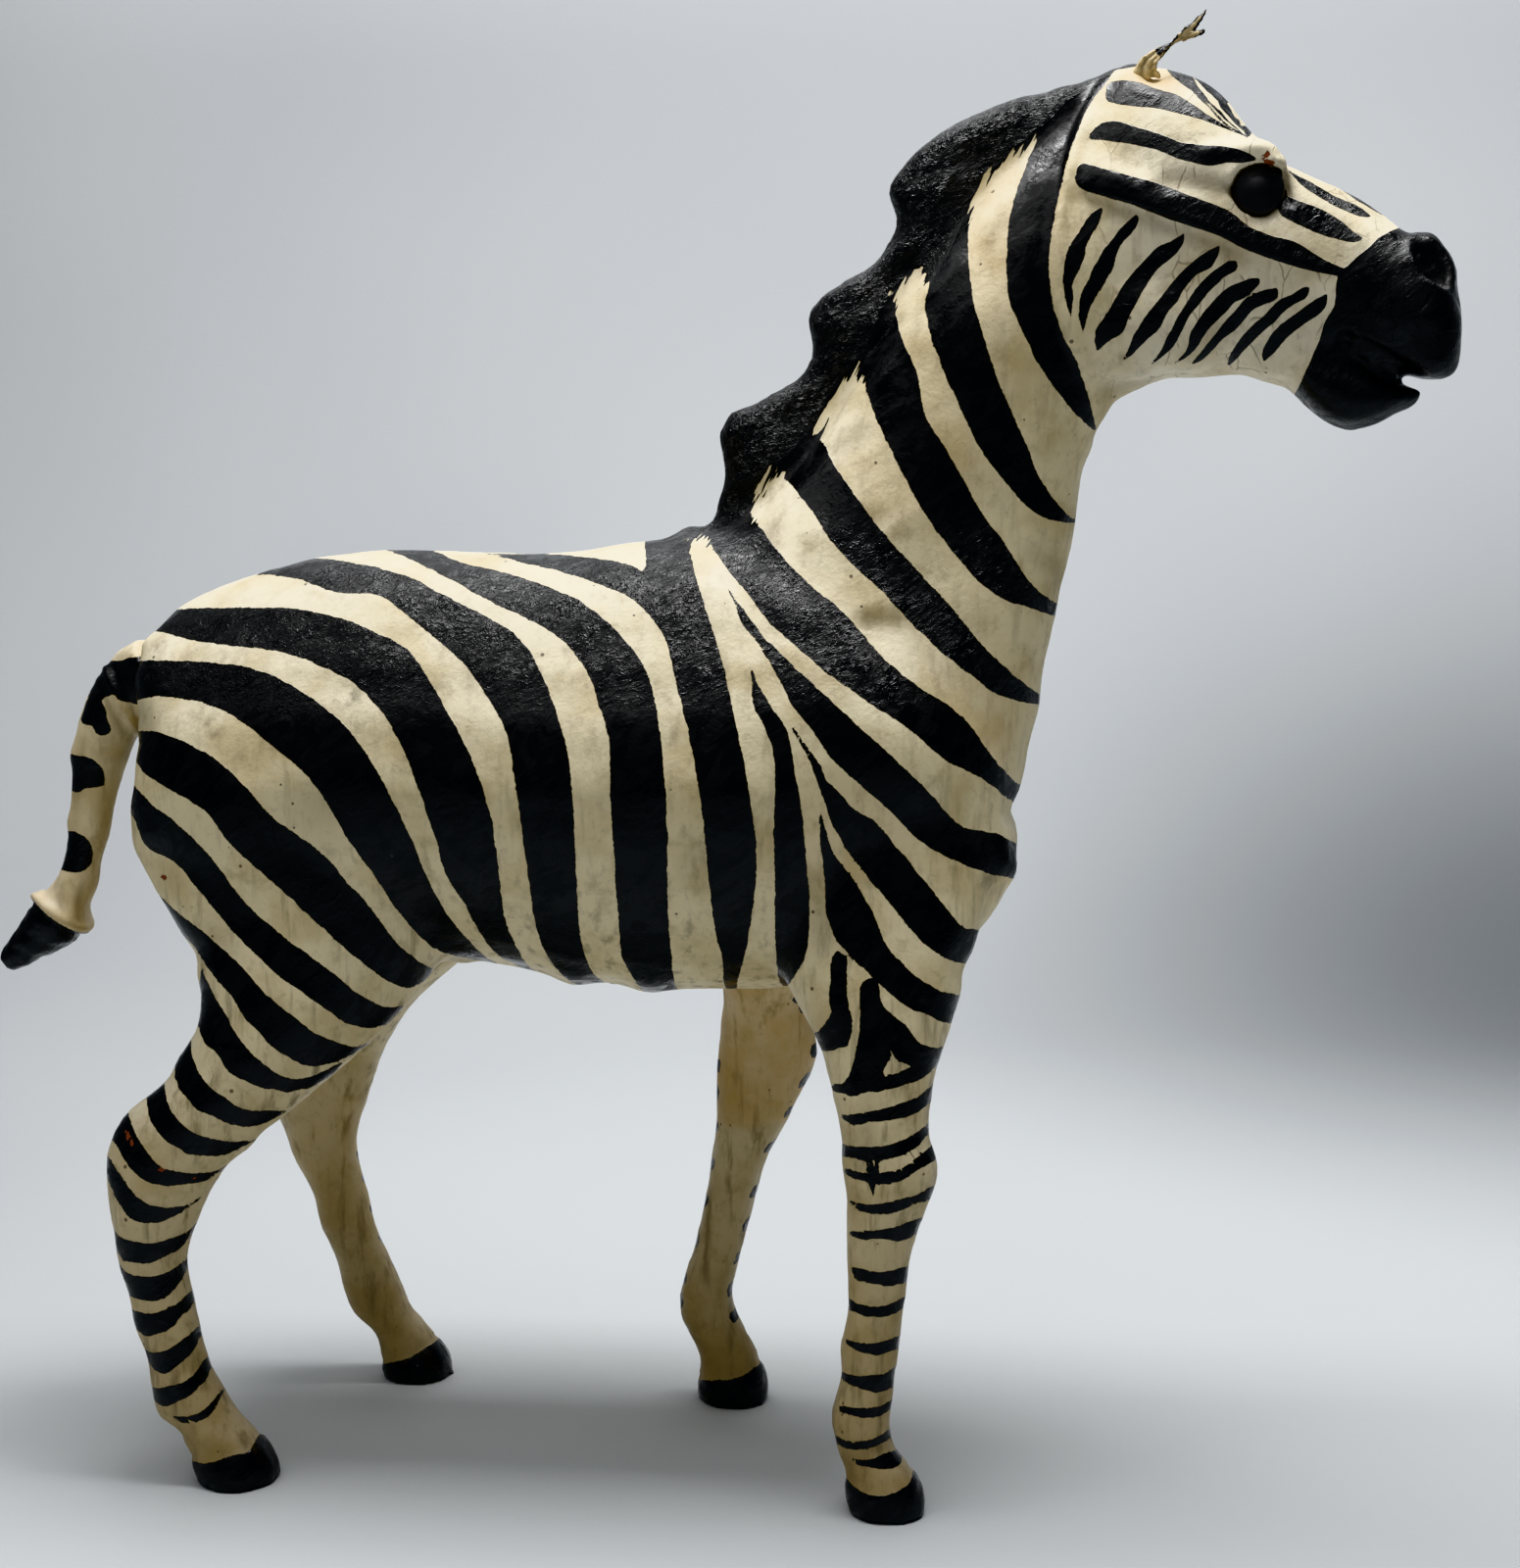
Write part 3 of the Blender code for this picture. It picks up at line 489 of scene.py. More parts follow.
FORE_BANDS = [
    ([(860, 1138), (866, 1137), (873, 1137), (885, 1135), (903, 1131), (916, 1127), (930, 1121),
      (942, 1114), (958, 1098)],
     [(861, 1141), (866, 1145), (875, 1149), (885, 1145), (896, 1145), (911, 1143), (927, 1139),
      (941, 1131), (948, 1124), (958, 1108)]),
    ([(853, 1163), (865, 1168), (879, 1170), (896, 1170), (913, 1166), (927, 1160), (939, 1151),
      (952, 1139)],
     [(853, 1176), (863, 1180), (872, 1182), (882, 1185), (892, 1184), (906, 1183), (920, 1179),
      (932, 1172), (941, 1162), (952, 1148)]),
    ([(863, 1193), (870, 1194), (880, 1196), (892, 1198), (906, 1196), (920, 1191), (932, 1183),
      (941, 1176), (948, 1169), (957, 1158)],
     [(864, 1197), (873, 1202), (884, 1205), (898, 1208), (910, 1208), (923, 1203), (932, 1196),
      (944, 1189), (953, 1183), (960, 1172)]),
    ([(868, 1225), (878, 1228), (892, 1229), (908, 1226), (924, 1222), (940, 1216), (960, 1204)],
     [(871, 1230), (881, 1236), (894, 1239), (908, 1239), (922, 1234), (933, 1229), (945, 1225),
      (960, 1212)]),
    ([(868, 1255), (881, 1256), (897, 1255), (913, 1252), (926, 1247), (945, 1240)],
     [(869, 1262), (883, 1265), (899, 1264), (916, 1267), (929, 1262), (945, 1250)]),
    ([(870, 1293), (881, 1295), (897, 1298), (910, 1296), (922, 1293), (929, 1290), (938, 1284)],
     [(871, 1302), (874, 1306), (885, 1309), (899, 1312), (910, 1312), (923, 1309), (938, 1299)]),
    ([(864, 1323), (876, 1330), (890, 1333), (904, 1332), (915, 1327), (934, 1317)],
     [(864, 1334), (876, 1340), (887, 1344), (901, 1344), (915, 1338), (934, 1329)]),
    ([(864, 1366), (876, 1370), (894, 1370), (908, 1366), (930, 1357)],
     [(864, 1372), (881, 1380), (894, 1383), (908, 1379), (930, 1371)]),
    ([(859, 1399), (874, 1404), (890, 1403), (904, 1400), (924, 1386)],
     [(860, 1408), (874, 1415), (885, 1419), (897, 1421), (909, 1416), (924, 1402)]),
    ([(857, 1434), (871, 1436), (887, 1437), (901, 1433), (918, 1420)],
     [(858, 1441), (869, 1444), (883, 1446), (899, 1445), (906, 1439), (918, 1430)]),
    ([(846, 1458), (862, 1469), (876, 1471), (892, 1468), (904, 1460), (918, 1449)],
     [(846, 1464), (860, 1477), (874, 1480), (890, 1477), (901, 1472), (918, 1460)]),
    ([(870, 1488), (885, 1489), (899, 1485), (910, 1480), (919, 1479)],
     [(871, 1491), (878, 1496), (894, 1499), (910, 1499), (919, 1492)]),
]

# %% Hooves: a closed outline each, drawn well past the sole
NEAR_HOOVES = [
    [(855, 1500), (866, 1510), (869, 1515), (881, 1523), (897, 1527), (910, 1524), (926, 1515),
     (932, 1501), (940, 1492), (1000, 1500), (1000, 1600), (800, 1600), (800, 1500)],
    [(190, 1488), (199, 1491), (207, 1493), (219, 1492), (232, 1486), (251, 1482), (259, 1473),
     (266, 1461), (274, 1452), (330, 1470), (330, 1600), (150, 1600), (150, 1500)],
]
FAR_HOOVES = [
    [(700, 1406), (713, 1408), (741, 1408), (762, 1401), (775, 1391), (786, 1380), (830, 1400),
     (830, 1500), (660, 1500), (660, 1410)],
    [(375, 1386), (387, 1390), (397, 1391), (416, 1386), (433, 1376), (448, 1365), (458, 1355),
     (500, 1380), (500, 1480), (340, 1480), (340, 1390)],
]

# %% The face: long stripes, then the strokes across the cheek
FACE_STRIPES = [
    ([(1128, 95), (1132, 84), (1150, 82), (1165, 85), (1181, 91), (1197, 95), (1205, 99), (1213, 104),
      (1221, 109), (1229, 115), (1237, 120), (1245, 125), (1253, 130), (1267, 137)],
     [(1127, 96), (1132, 104), (1154, 108), (1179, 110), (1193, 113), (1205, 116), (1217, 119),
      (1227, 122), (1235, 125), (1245, 129), (1257, 134), (1267, 138)]),
    ([(1117, 131), (1123, 126), (1140, 124), (1155, 128), (1187, 138), (1205, 145), (1229, 148),
      (1250, 149), (1267, 153), (1284, 162)],
     [(1112, 136), (1114, 142), (1143, 145), (1178, 152), (1200, 161), (1215, 165), (1235, 169),
      (1252, 166), (1268, 166), (1284, 163)]),
    ([(1100, 170), (1106, 166), (1133, 174), (1178, 186), (1210, 198), (1254, 215), (1274, 231),
      (1300, 241), (1322, 247), (1350, 264), (1374, 275)],
     [(1096, 182), (1101, 191), (1114, 197), (1155, 209), (1194, 224), (1242, 240), (1274, 256),
      (1322, 272), (1350, 279), (1374, 283)]),
    ([(1306, 200), (1313, 200), (1325, 205), (1350, 214), (1369, 226), (1381, 236), (1392, 243)],
     [(1307, 214), (1311, 221), (1325, 229), (1345, 238), (1364, 244), (1380, 247), (1392, 244)]),
    ([(1314, 173), (1322, 178), (1338, 186), (1362, 200), (1385, 210), (1399, 220)],
     [(1315, 175), (1330, 190), (1345, 200), (1362, 210), (1385, 220), (1399, 222)]),
    ([(1354, 182), (1372, 192), (1392, 205), (1411, 219)],
     [(1354, 183), (1370, 195), (1390, 208), (1411, 220)]),
]
FORELOCK = [
    (1184, 61), (1186, 66), (1192, 73), (1197, 78), (1205, 85), (1216, 93), (1221, 98), (1227, 104),
    (1234, 110), (1241, 118), (1249, 126), (1261, 135), (1269, 139), (1276, 138), (1278, 110), (1250, 84),
    (1215, 58), (1186, 46),
]
FORELOCK_GAPS = [
    [(1217, 78), (1222, 88), (1229, 96), (1233, 102), (1237, 106), (1245, 113), (1251, 120), (1257, 126),
     (1265, 133), (1271, 138), (1269, 134), (1259, 125), (1253, 118), (1245, 109), (1242, 103), (1237, 98),
     (1229, 91), (1221, 82)],
    [(1228, 102), (1235, 107), (1243, 115), (1250, 122), (1257, 128), (1263, 133), (1257, 130),
     (1250, 125), (1242, 117), (1235, 109)],
    [(1252, 105), (1257, 113), (1260, 120), (1264, 122), (1266, 128), (1285, 130), (1285, 100)],
]
MUZZLE = [
    (1450, 222), (1432, 231), (1418, 236), (1406, 243), (1395, 254), (1382, 264), (1373, 274), (1367, 279),
    (1364, 287), (1363, 296), (1362, 312), (1354, 324), (1350, 334), (1346, 348), (1341, 359), (1336, 371),
    (1329, 386), (1324, 397), (1318, 415),
]
MUZZLE_FRONT = [(1320, 480), (1560, 480), (1560, 200), (1450, 205)]
CHEEK_STROKES = [
    ([(1125, 211), (1124, 219), (1119, 232), (1109, 247), (1107, 260), (1101, 276), (1094, 291),
      (1095, 301), (1094, 313), (1093, 323)],
     [(1124, 211), (1113, 218), (1104, 232), (1093, 247), (1087, 263), (1085, 279), (1085, 291),
      (1087, 304), (1090, 315), (1092, 323)]),
    ([(1161, 218), (1162, 226), (1155, 238), (1146, 247), (1138, 261), (1136, 273), (1124, 294),
      (1115, 308), (1109, 323), (1106, 342)],
     [(1160, 218), (1154, 223), (1143, 233), (1130, 250), (1119, 266), (1112, 282), (1105, 297),
      (1101, 310), (1101, 323), (1104, 335), (1105, 342)]),
    ([(1209, 238), (1207, 249), (1198, 261), (1184, 272), (1177, 280), (1168, 294), (1160, 308),
      (1152, 323), (1145, 340), (1134, 346), (1120, 358)],
     [(1208, 238), (1195, 246), (1181, 252), (1170, 263), (1157, 277), (1146, 291), (1137, 307),
      (1127, 323), (1119, 335), (1117, 345), (1119, 358)]),
    ([(1245, 251), (1244, 257), (1240, 266), (1234, 274), (1220, 281), (1208, 295), (1201, 308),
      (1191, 319), (1185, 332), (1177, 341), (1166, 351), (1154, 363), (1146, 368)],
     [(1243, 251), (1231, 257), (1220, 265), (1206, 277), (1195, 290), (1184, 304), (1174, 316),
      (1165, 329), (1156, 344), (1151, 357), (1145, 368)]),
    ([(1262, 266), (1263, 272), (1260, 277), (1249, 282), (1245, 287), (1235, 296), (1226, 308),
      (1216, 319), (1210, 329), (1201, 348), (1191, 360), (1175, 372)],
     [(1260, 266), (1254, 266), (1245, 272), (1235, 279), (1226, 288), (1217, 299), (1209, 312),
      (1202, 323), (1196, 335), (1191, 344), (1185, 357), (1174, 372)]),
    ([(1285, 284), (1285, 290), (1276, 299), (1270, 304), (1260, 308), (1253, 316), (1240, 329),
      (1232, 338), (1225, 348), (1221, 355), (1210, 365), (1199, 371)],
     [(1284, 284), (1276, 284), (1268, 287), (1257, 291), (1248, 297), (1238, 307), (1229, 318),
      (1221, 329), (1214, 341), (1213, 351), (1209, 360), (1198, 371)]),
    ([(1304, 294), (1303, 305), (1292, 310), (1279, 316), (1270, 326), (1260, 337), (1248, 346),
      (1235, 360), (1226, 368), (1216, 372)],
     [(1303, 294), (1293, 295), (1282, 299), (1271, 305), (1262, 315), (1251, 327), (1242, 338),
      (1232, 351), (1223, 362), (1215, 372)]),
    ([(1336, 292), (1336, 297), (1332, 305), (1321, 310), (1310, 318), (1300, 329), (1289, 338),
      (1278, 349), (1268, 359), (1260, 368), (1252, 375)],
     [(1335, 292), (1328, 294), (1318, 301), (1307, 305), (1298, 313), (1289, 323), (1278, 332),
      (1268, 343), (1260, 354), (1254, 365), (1251, 375)]),
    ([(1354, 300), (1354, 309), (1351, 316), (1343, 323), (1332, 330), (1321, 338), (1310, 348),
      (1301, 359), (1290, 369)],
     [(1353, 300), (1347, 303), (1336, 310), (1325, 318), (1314, 326), (1303, 335), (1293, 348),
      (1288, 360), (1289, 369)]),
]
EYE_PATCH = [
    (1256, 191), (1259, 185), (1261, 180), (1263, 177), (1273, 173), (1286, 171), (1295, 170), (1305, 171),
    (1308, 175), (1308, 184), (1309, 192), (1313, 194), (1314, 202), (1316, 212), (1312, 224), (1307, 219),
    (1304, 213), (1300, 212), (1298, 209), (1294, 209), (1288, 211), (1283, 218), (1279, 210), (1275, 209),
    (1270, 205), (1266, 204), (1262, 208), (1262, 202), (1258, 200), (1256, 195),
]

# %% The mane, black above a ragged line, with the torn tops of the white stripes between
MANE = [
    (640, 540), (703, 551), (718, 548), (742, 537), (764, 524), (776, 498), (789, 481), (812, 460),
    (833, 435), (853, 400), (878, 374), (895, 335), (911, 300), (920, 291), (931, 276), (938, 278),
    (944, 300), (966, 262), (988, 215), (1012, 178), (1055, 141), (1090, 108), (1129, 77), (1144, 71),
    (1160, 68), (1190, 62), (1190, -80), (560, -80),
]
RAGGED_TOPS = [
    [(703, 551), (718, 548)],
    [(764, 524), (776, 498), (789, 481)],
    [(833, 435), (853, 400), (878, 374)],
    [(911, 300), (920, 291), (931, 276), (944, 296)],
    [(988, 215), (1012, 178), (1055, 141)],
]

# %% Distances to outlines and lines
FAR_AWAY = 60.0


def rounded(corners, steps=3):
    """More points on a smooth curve through the corners."""
    rows = np.array(corners, float)
    if len(rows) < 3:
        return rows
    ends = np.vstack([2 * rows[0] - rows[1], rows, 2 * rows[-1] - rows[-2]])
    made = []
    for a, b, c, d in zip(ends, ends[1:], ends[2:], ends[3:]):
        slope, bend, twist = c - a, 2 * a - 5 * b + 4 * c - d, 3 * b - a - 3 * c + d
        for t in np.linspace(0, 1, steps, endpoint=False):
            made.append((2 * b + slope * t + bend * t**2 + twist * t**3) / 2)
    return np.array(made + [rows[-1]])


def line_distance(pixels, line):
    """Distance in pixels to a line, and how far along it the nearest point lies, from 0 to 1."""
    line = np.asarray(line, float)
    lengths = np.hypot(*(line[1:] - line[:-1]).T)
    before = np.concatenate([[0], np.cumsum(lengths)])
    best = np.full(len(pixels), np.inf)
    along = np.zeros(len(pixels))
    for k, (start, run) in enumerate(zip(line, line[1:] - line[:-1])):
        if lengths[k] == 0:
            continue
        share = np.clip(((pixels - start) @ run) / lengths[k] ** 2, 0, 1)
        distance = np.hypot(*(pixels - start - share[:, None] * run).T)
        nearer = distance < best
        best = np.where(nearer, distance, best)
        along = np.where(nearer, (before[k] + share * lengths[k]) / before[-1], along)
    return best, along


def pixels_from(pixels, place):
    """Distance in pixels to one place."""
    return np.hypot(*(pixels - np.array(place)).T)


def inside(pixels, outline):
    """True where a place lies within the closed outline."""
    x, y = pixels.T
    found = np.zeros(len(pixels), bool)
    for (ax, ay), (bx, by) in zip(outline, np.roll(outline, -1, axis=0)):
        if ay == by:
            continue
        crosses = (ay > y) != (by > y)
        found ^= crosses & (x < (bx - ax) * (y - ay) / (by - ay) + ax)
    return found


def near_to(pixels, outline):
    """Which places are close enough to an outline to be worth measuring."""
    low, high = outline.min(axis=0) - FAR_AWAY, outline.max(axis=0) + FAR_AWAY
    return ((pixels > low) & (pixels < high)).all(axis=1)


def within(pixels, outline):
    """Pixels inside the outline, as a distance from its edge: negative outside."""
    outline = np.asarray(outline, float)
    result = np.full(len(pixels), -FAR_AWAY)
    close = near_to(pixels, outline)
    distance, _ = line_distance(pixels[close], np.vstack([outline, outline[:1]]))
    signed = np.where(inside(pixels[close], outline), distance, -distance)
    result[close] = np.clip(signed, -FAR_AWAY, FAR_AWAY)
    return result


def within_round(pixels, outline):
    """The same, with the outline's corners rounded."""
    return within(pixels, rounded(outline, 2))


def between(pixels, edges):
    """The same, for a stripe given by its two edges."""
    one, other = (rounded(edge) for edge in edges)
    return within(pixels, np.vstack([one, other[::-1]]))


def across_leg(pixels, edges, longer=0.05):
    """The same, for a band whose edges are drawn a little past both sides of its leg."""
    drawn = [np.array(edge, float) for edge in edges]
    for edge in drawn:
        edge[:, 0] += (edge[:, 0] - edge[:, 0].mean()) * longer
    return between(pixels, drawn)


STROKE_SWELLS, STROKE_STARTS, STROKE_TAPERS, STROKE_ENDS, TAPER_CURVE = 3.4, 0.25, 3.0, 0.1, 0.7


def stroke(pixels, line_and_width):
    """The same, for a brush stroke that swells in the middle and ends in points."""
    line, width = rounded(line_and_width[0]), line_and_width[1]
    result = np.full(len(pixels), -FAR_AWAY)
    close = near_to(pixels, line)
    distance, along = line_distance(pixels[close], line)
    half = width / 2 * np.clip(STROKE_SWELLS * along, STROKE_STARTS, 1)
    half = half * np.clip(STROKE_TAPERS * (1 - along), STROKE_ENDS, 1) ** TAPER_CURVE
    result[close] = np.clip(half - distance, -FAR_AWAY, FAR_AWAY)
    return result


def deepest(pixels, measure, shapes):
    """The largest of one such distance over many shapes."""
    result = np.full(len(pixels), -FAR_AWAY)
    for shape in shapes:
        result = np.maximum(result, measure(pixels, shape))
    return result


# %% Where each vertex lies in the paint. The far fore leg's bands are given by the heights of their
# front and back ends and half their thickness, in millimetres
FAR_FORE_BANDS = [
    (86.7, 82.5, 1.7),
    (79.8, 76.0, 1.8),
    (72.0, 67.5, 1.3),
    (63.5, 58.3, 1.4),
    (52.1, 49.2, 1.6),
    (44.2, 39.3, 1.6),
    (35.9, 30.0, 1.4),
    (27.8, 24.4, 1.6),
    (21.3, 18.0, 1.2),
]
FAR_FORE_TOP, HOOF_TOP = 96.0, 30.0
INNER_BARE_TO, INNER_PAINTED_FROM, INNER_CLEARED = 98.0, 128.0, 8.0
INNER_TURN, NEAR_INNER, FAR_FORE_INNER, FAR_HIND_INNER, FAR_HIND_TO = 0.38, 0.62, 0.45, 0.0, -35.0
BELLY_CLEARED, BELLY_LEVEL = 4.0, (0.97, 1.0)
BELLY_FROM, BELLY_TO = (96.0, 106.0), (150.0, 190.0)
RAGGED_NEAR, RAGGED_TO = 8.0, 20.0
STRIPES = TRUNK_STRIPES + RUMP_STRIPES + FACE_STRIPES + CHEEK_STROKES + FORE_PATCHES


def coat(points, normals):
    """Millimetres into the black, how ragged its edge is, and millimetres into a hoof."""
    pixels, scale = photo_pixels(shown_twin(points))
    x, _, z = points.T
    far = sides(points) > 0
    black = np.minimum(deepest(pixels, between, STRIPES), -within(pixels, FORE_WINDOW))
    forelock = np.minimum(within_round(pixels, FORELOCK), -deepest(pixels, within, FORELOCK_GAPS))
    areas = deepest(pixels, within_round, (MANE, MUZZLE + MUZZLE_FRONT, EYE_PATCH))
    bands = deepest(pixels, across_leg, HIND_BANDS + FORE_BANDS)
    for part in (forelock, areas, bands, deepest(pixels, stroke, DRIPS)):
        black = np.maximum(black, part)

    forward = (x - leg_at("far", "fore", z, 0)) / leg_at("far", "fore", z, 2)
    own = np.full(len(points), -FAR_AWAY)
    for front, back, half in FAR_FORE_BANDS:
        level = back + (front - back) * (np.clip(forward, -1, 1) + 1) / 2
        own = np.maximum(own, (half - abs(z - level)) * scale)
    black = np.where(far & (x > FORE_FROM) & (z < FAR_FORE_TOP), own, black)

    # The inner sides of the legs and the middle of the belly are bare
    inward = normals[:, 1] * np.where(far, -1, 1)
    low = 1 - ramp(z, INNER_BARE_TO, INNER_PAINTED_FROM)
    far_from = np.where(x < FAR_HIND_TO, FAR_HIND_INNER, FAR_FORE_INNER)
    start = np.where(far, far_from, NEAR_INNER)
    black -= low * scale * INNER_CLEARED * ramp(inward, start, start + INNER_TURN)
    below = ramp(-normals[:, 2], *BELLY_LEVEL) * ramp(z, *BELLY_FROM) * (1 - ramp(z, *BELLY_TO))
    black -= below * scale * BELLY_CLEARED

    near_hoof = deepest(pixels, within_round, NEAR_HOOVES)
    far_hoof = deepest(photo_pixels(points)[0], within_round, FAR_HOOVES)
    hoof = np.where(far, far_hoof, near_hoof)
    hoof[z > HOOF_TOP] = -FAR_AWAY
    nearest = np.min([line_distance(pixels, top)[0] for top in RAGGED_TOPS], axis=0)
    return np.maximum(black, hoof) / scale, 1 - ramp(nearest, RAGGED_NEAR, RAGGED_TO), hoof / scale


# %% [markdown]
# ## Relief
# Leather that dries over a core puckers, and the maker pressed lids, nostrils, a mouth and a mane
# into it. A sculpting brush would do this by hand. Here each groove or ridge is a line read in the
# photograph, and the vertices near it move along their normals by a soft bell-shaped amount.

# %% Ridges and grooves: line in pixels, height and half width in millimetres
RELIEF = [
    ([(1140, 68), (1120, 96), (1105, 124), (1095, 155), (1087, 190), (1081, 230), (1079, 270), (1082, 310),
      (1092, 345), (1106, 372), (1118, 392)], 0.9, 1.5),
    ([(1128, 68), (1108, 98), (1094, 128), (1084, 160), (1076, 195), (1069, 235), (1067, 275), (1072, 312),
      (1083, 348), (1097, 376)], -0.4, 1.3),
    ([(1120, 110), (1107, 140), (1098, 170), (1094, 205)], 0.35, 1.4),
    ([(1098, 186), (1140, 200), (1190, 216), (1240, 234), (1280, 252), (1330, 268),
      (1366, 280)], 0.55, 1.3),
    ([(1100, 200), (1140, 214), (1190, 232), (1240, 251), (1280, 270)], -0.4, 1.3),
    ([(1170, 190), (1215, 186), (1250, 196), (1262, 208), (1280, 222), (1300, 226)], -0.55, 2.2),
    ([(1222, 158), (1240, 152), (1262, 152), (1284, 150), (1302, 158)], 0.8, 1.6),
    ([(1252, 186), (1258, 174), (1270, 166), (1286, 163), (1302, 164), (1312, 172)], 0.7, 0.9),
    ([(1250, 196), (1258, 206), (1270, 214), (1284, 220), (1300, 218), (1312, 208)], 0.5, 0.9),
    ([(1309, 167), (1313, 180), (1314, 196), (1316, 212)], -0.6, 1.0),
    ([(1440, 243), (1437, 252), (1438, 261), (1443, 272), (1450, 283), (1460, 291), (1471, 298),
      (1480, 300)], 0.7, 0.7),
    ([(1438, 244), (1447, 239), (1458, 240), (1469, 246), (1478, 255), (1485, 268)], 0.5, 0.8),
    ([(1459, 250), (1454, 258), (1454, 266), (1461, 274), (1469, 270), (1475, 262)], 0.5, 0.5),
    ([(1384, 345), (1402, 353), (1420, 364), (1440, 376), (1456, 382)], -0.6, 0.8),
    ([(1386, 339), (1404, 346), (1424, 357), (1444, 369)], 0.35, 1.2),
    ([(1374, 361), (1386, 367), (1399, 378), (1413, 390)], -0.5, 0.7),
    ([(1359, 352), (1360, 342), (1366, 335), (1374, 333), (1382, 336), (1387, 344)], 0.4, 0.7),
    ([(1362, 357), (1370, 361), (1380, 359)], 0.3, 0.7),
    ([(914, 169), (945, 154), (976, 141), (1021, 120), (1067, 98)], 0.6, 2.0),
    ([(920, 190), (960, 172), (1000, 155), (1050, 133)], -0.6, 2.0),
    ([(832, 307), (850, 302), (871, 294), (896, 276), (914, 261), (945, 239)], 0.7, 1.5),
    ([(846, 318), (870, 310), (900, 292), (932, 266)], -0.5, 1.4),
    ([(865, 306), (885, 291), (906, 274), (942, 233)], 0.4, 1.2),
    ([(740, 447), (758, 434), (777, 420), (800, 410), (813, 405), (835, 386)], 0.7, 1.5),
    ([(738, 466), (770, 446), (800, 430), (832, 408)], -0.5, 1.5),
    ([(740, 502), (756, 492), (770, 487), (792, 472)], 0.6, 1.4),
    ([(884, 362), (896, 348), (911, 334), (924, 322)], -0.5, 0.9),
    ([(945, 307), (960, 292), (976, 276), (986, 266)], 0.5, 2.0),
    ([(905, 230), (918, 215), (935, 205), (960, 200)], -0.4, 2.4),
    ([(823, 366), (840, 350), (862, 340)], -0.4, 2.0),
    ([(1000, 232), (1018, 216), (1036, 196)], 0.25, 1.2),
    ([(996, 262), (1016, 244), (1034, 226)], -0.25, 1.4),
    ([(888, 402), (902, 386), (918, 370)], 0.3, 1.2),
    ([(846, 470), (866, 450), (888, 432)], -0.3, 1.6),
    ([(862, 492), (884, 470), (902, 452)], 0.25, 1.4),
    ([(900, 552), (925, 530), (944, 514)], 0.25, 1.8),
    ([(866, 622), (884, 617), (904, 614), (926, 622)], 0.35, 2.0),
    ([(870, 638), (888, 634), (906, 633), (928, 643)], -0.5, 1.6),
    ([(868, 560), (884, 540), (898, 520)], -0.25, 1.8),
    ([(736, 596), (760, 578), (780, 552), (796, 530)], -0.5, 2.2),
    ([(700, 600), (716, 640), (724, 690)], -0.25, 3.0),
    ([(770, 590), (800, 620), (826, 660)], 0.3, 2.6),
    ([(812, 640), (850, 672), (884, 700)], -0.3, 2.0),
    ([(884, 1090), (886, 1130), (884, 1170), (882, 1200)], -0.45, 1.1),
    ([(872, 1100), (872, 1140), (872, 1175)], 0.3, 1.2),
    ([(895, 1095), (900, 1130), (902, 1165)], 0.25, 1.2),
    ([(940, 1018), (944, 1040), (946, 1062)], -0.4, 1.0),
    ([(915, 1100), (918, 1130), (918, 1160)], -0.2, 1.2),
    ([(866, 1486), (868, 1500), (867, 1514)], -0.5, 0.6),
    ([(868, 1484), (890, 1480), (905, 1474), (914, 1466)], -0.45, 0.8),
    ([(150, 1452), (170, 1462), (188, 1470)], -0.3, 1.0),
    ([(186, 1470), (200, 1466), (222, 1462), (240, 1450)], 0.3, 1.6),
    ([(135, 720), (150, 740), (152, 765)], -0.4, 2.0),
    ([(205, 940), (226, 962), (240, 990)], -0.25, 2.6),
    ([(470, 960), (490, 990), (512, 1006)], -0.4, 2.0),
    ([(424, 990), (450, 990), (476, 982)], -0.4, 1.8),
    ([(820, 880), (836, 930), (846, 980)], -0.35, 2.2),
    ([(262, 600), (330, 622), (380, 660)], 0.2, 4.0),
    ([(1046, 560), (1075, 580), (1092, 612)], -0.3, 2.0),
    ([(1120, 400), (1150, 392), (1180, 388)], -0.3, 1.8),
]
# Dimples and bumps: place in pixels, height and radius in millimetres
DIMPLES = [
    ((1373, 348), -1.3, 1.7),
    ((1292, 160), -0.35, 1.2),
    ((287, 772), -0.2, 0.9),
    ((162, 895), -0.2, 1.0),
    ((1054, 364), 0.3, 1.0),
    ((1410, 322), 0.4, 2.4),
    ((1458, 326), 0.5, 2.6),
    ((640, 800), -0.3, 5.0),
    ((560, 760), 0.2, 6.0),
    ((720, 880), -0.25, 6.0),
    ((470, 660), 0.25, 6.0),
    ((330, 820), -0.25, 7.0),
    ((990, 640), -0.3, 4.0),
    ((950, 760), 0.25, 5.0),
]
NOSTRIL = [
    (1441, 245), (1448, 242), (1457, 243), (1467, 248), (1476, 257), (1482, 268), (1485, 281), (1484, 292),
    (1479, 297), (1470, 294), (1460, 288), (1451, 280), (1444, 271), (1440, 260),
]
NOSTRIL_DEPTH, NOSTRIL_SLOPE = 2.4, 9.0
FADES_PER_LINE = 6
TURNED_AWAY, TURNED_FULLY = -0.05, 0.3


def facing(points, normals):
    """1 where a point's shown twin faces the camera, 0 where it is turned away."""
    far = sides(points) > 0
    mirrored = normals.copy()
    share = head_share(points)[:, None]
    flipped = normals * np.array([1, -1, 1])
    turned = normals - 2 * (normals @ HEAD_ACROSS)[:, None] * HEAD_ACROSS
    mirrored[far] = (flipped * (1 - share) + turned * share)[far]
    return ramp(-(mirrored @ np.array(LOOK)), TURNED_AWAY, TURNED_FULLY)


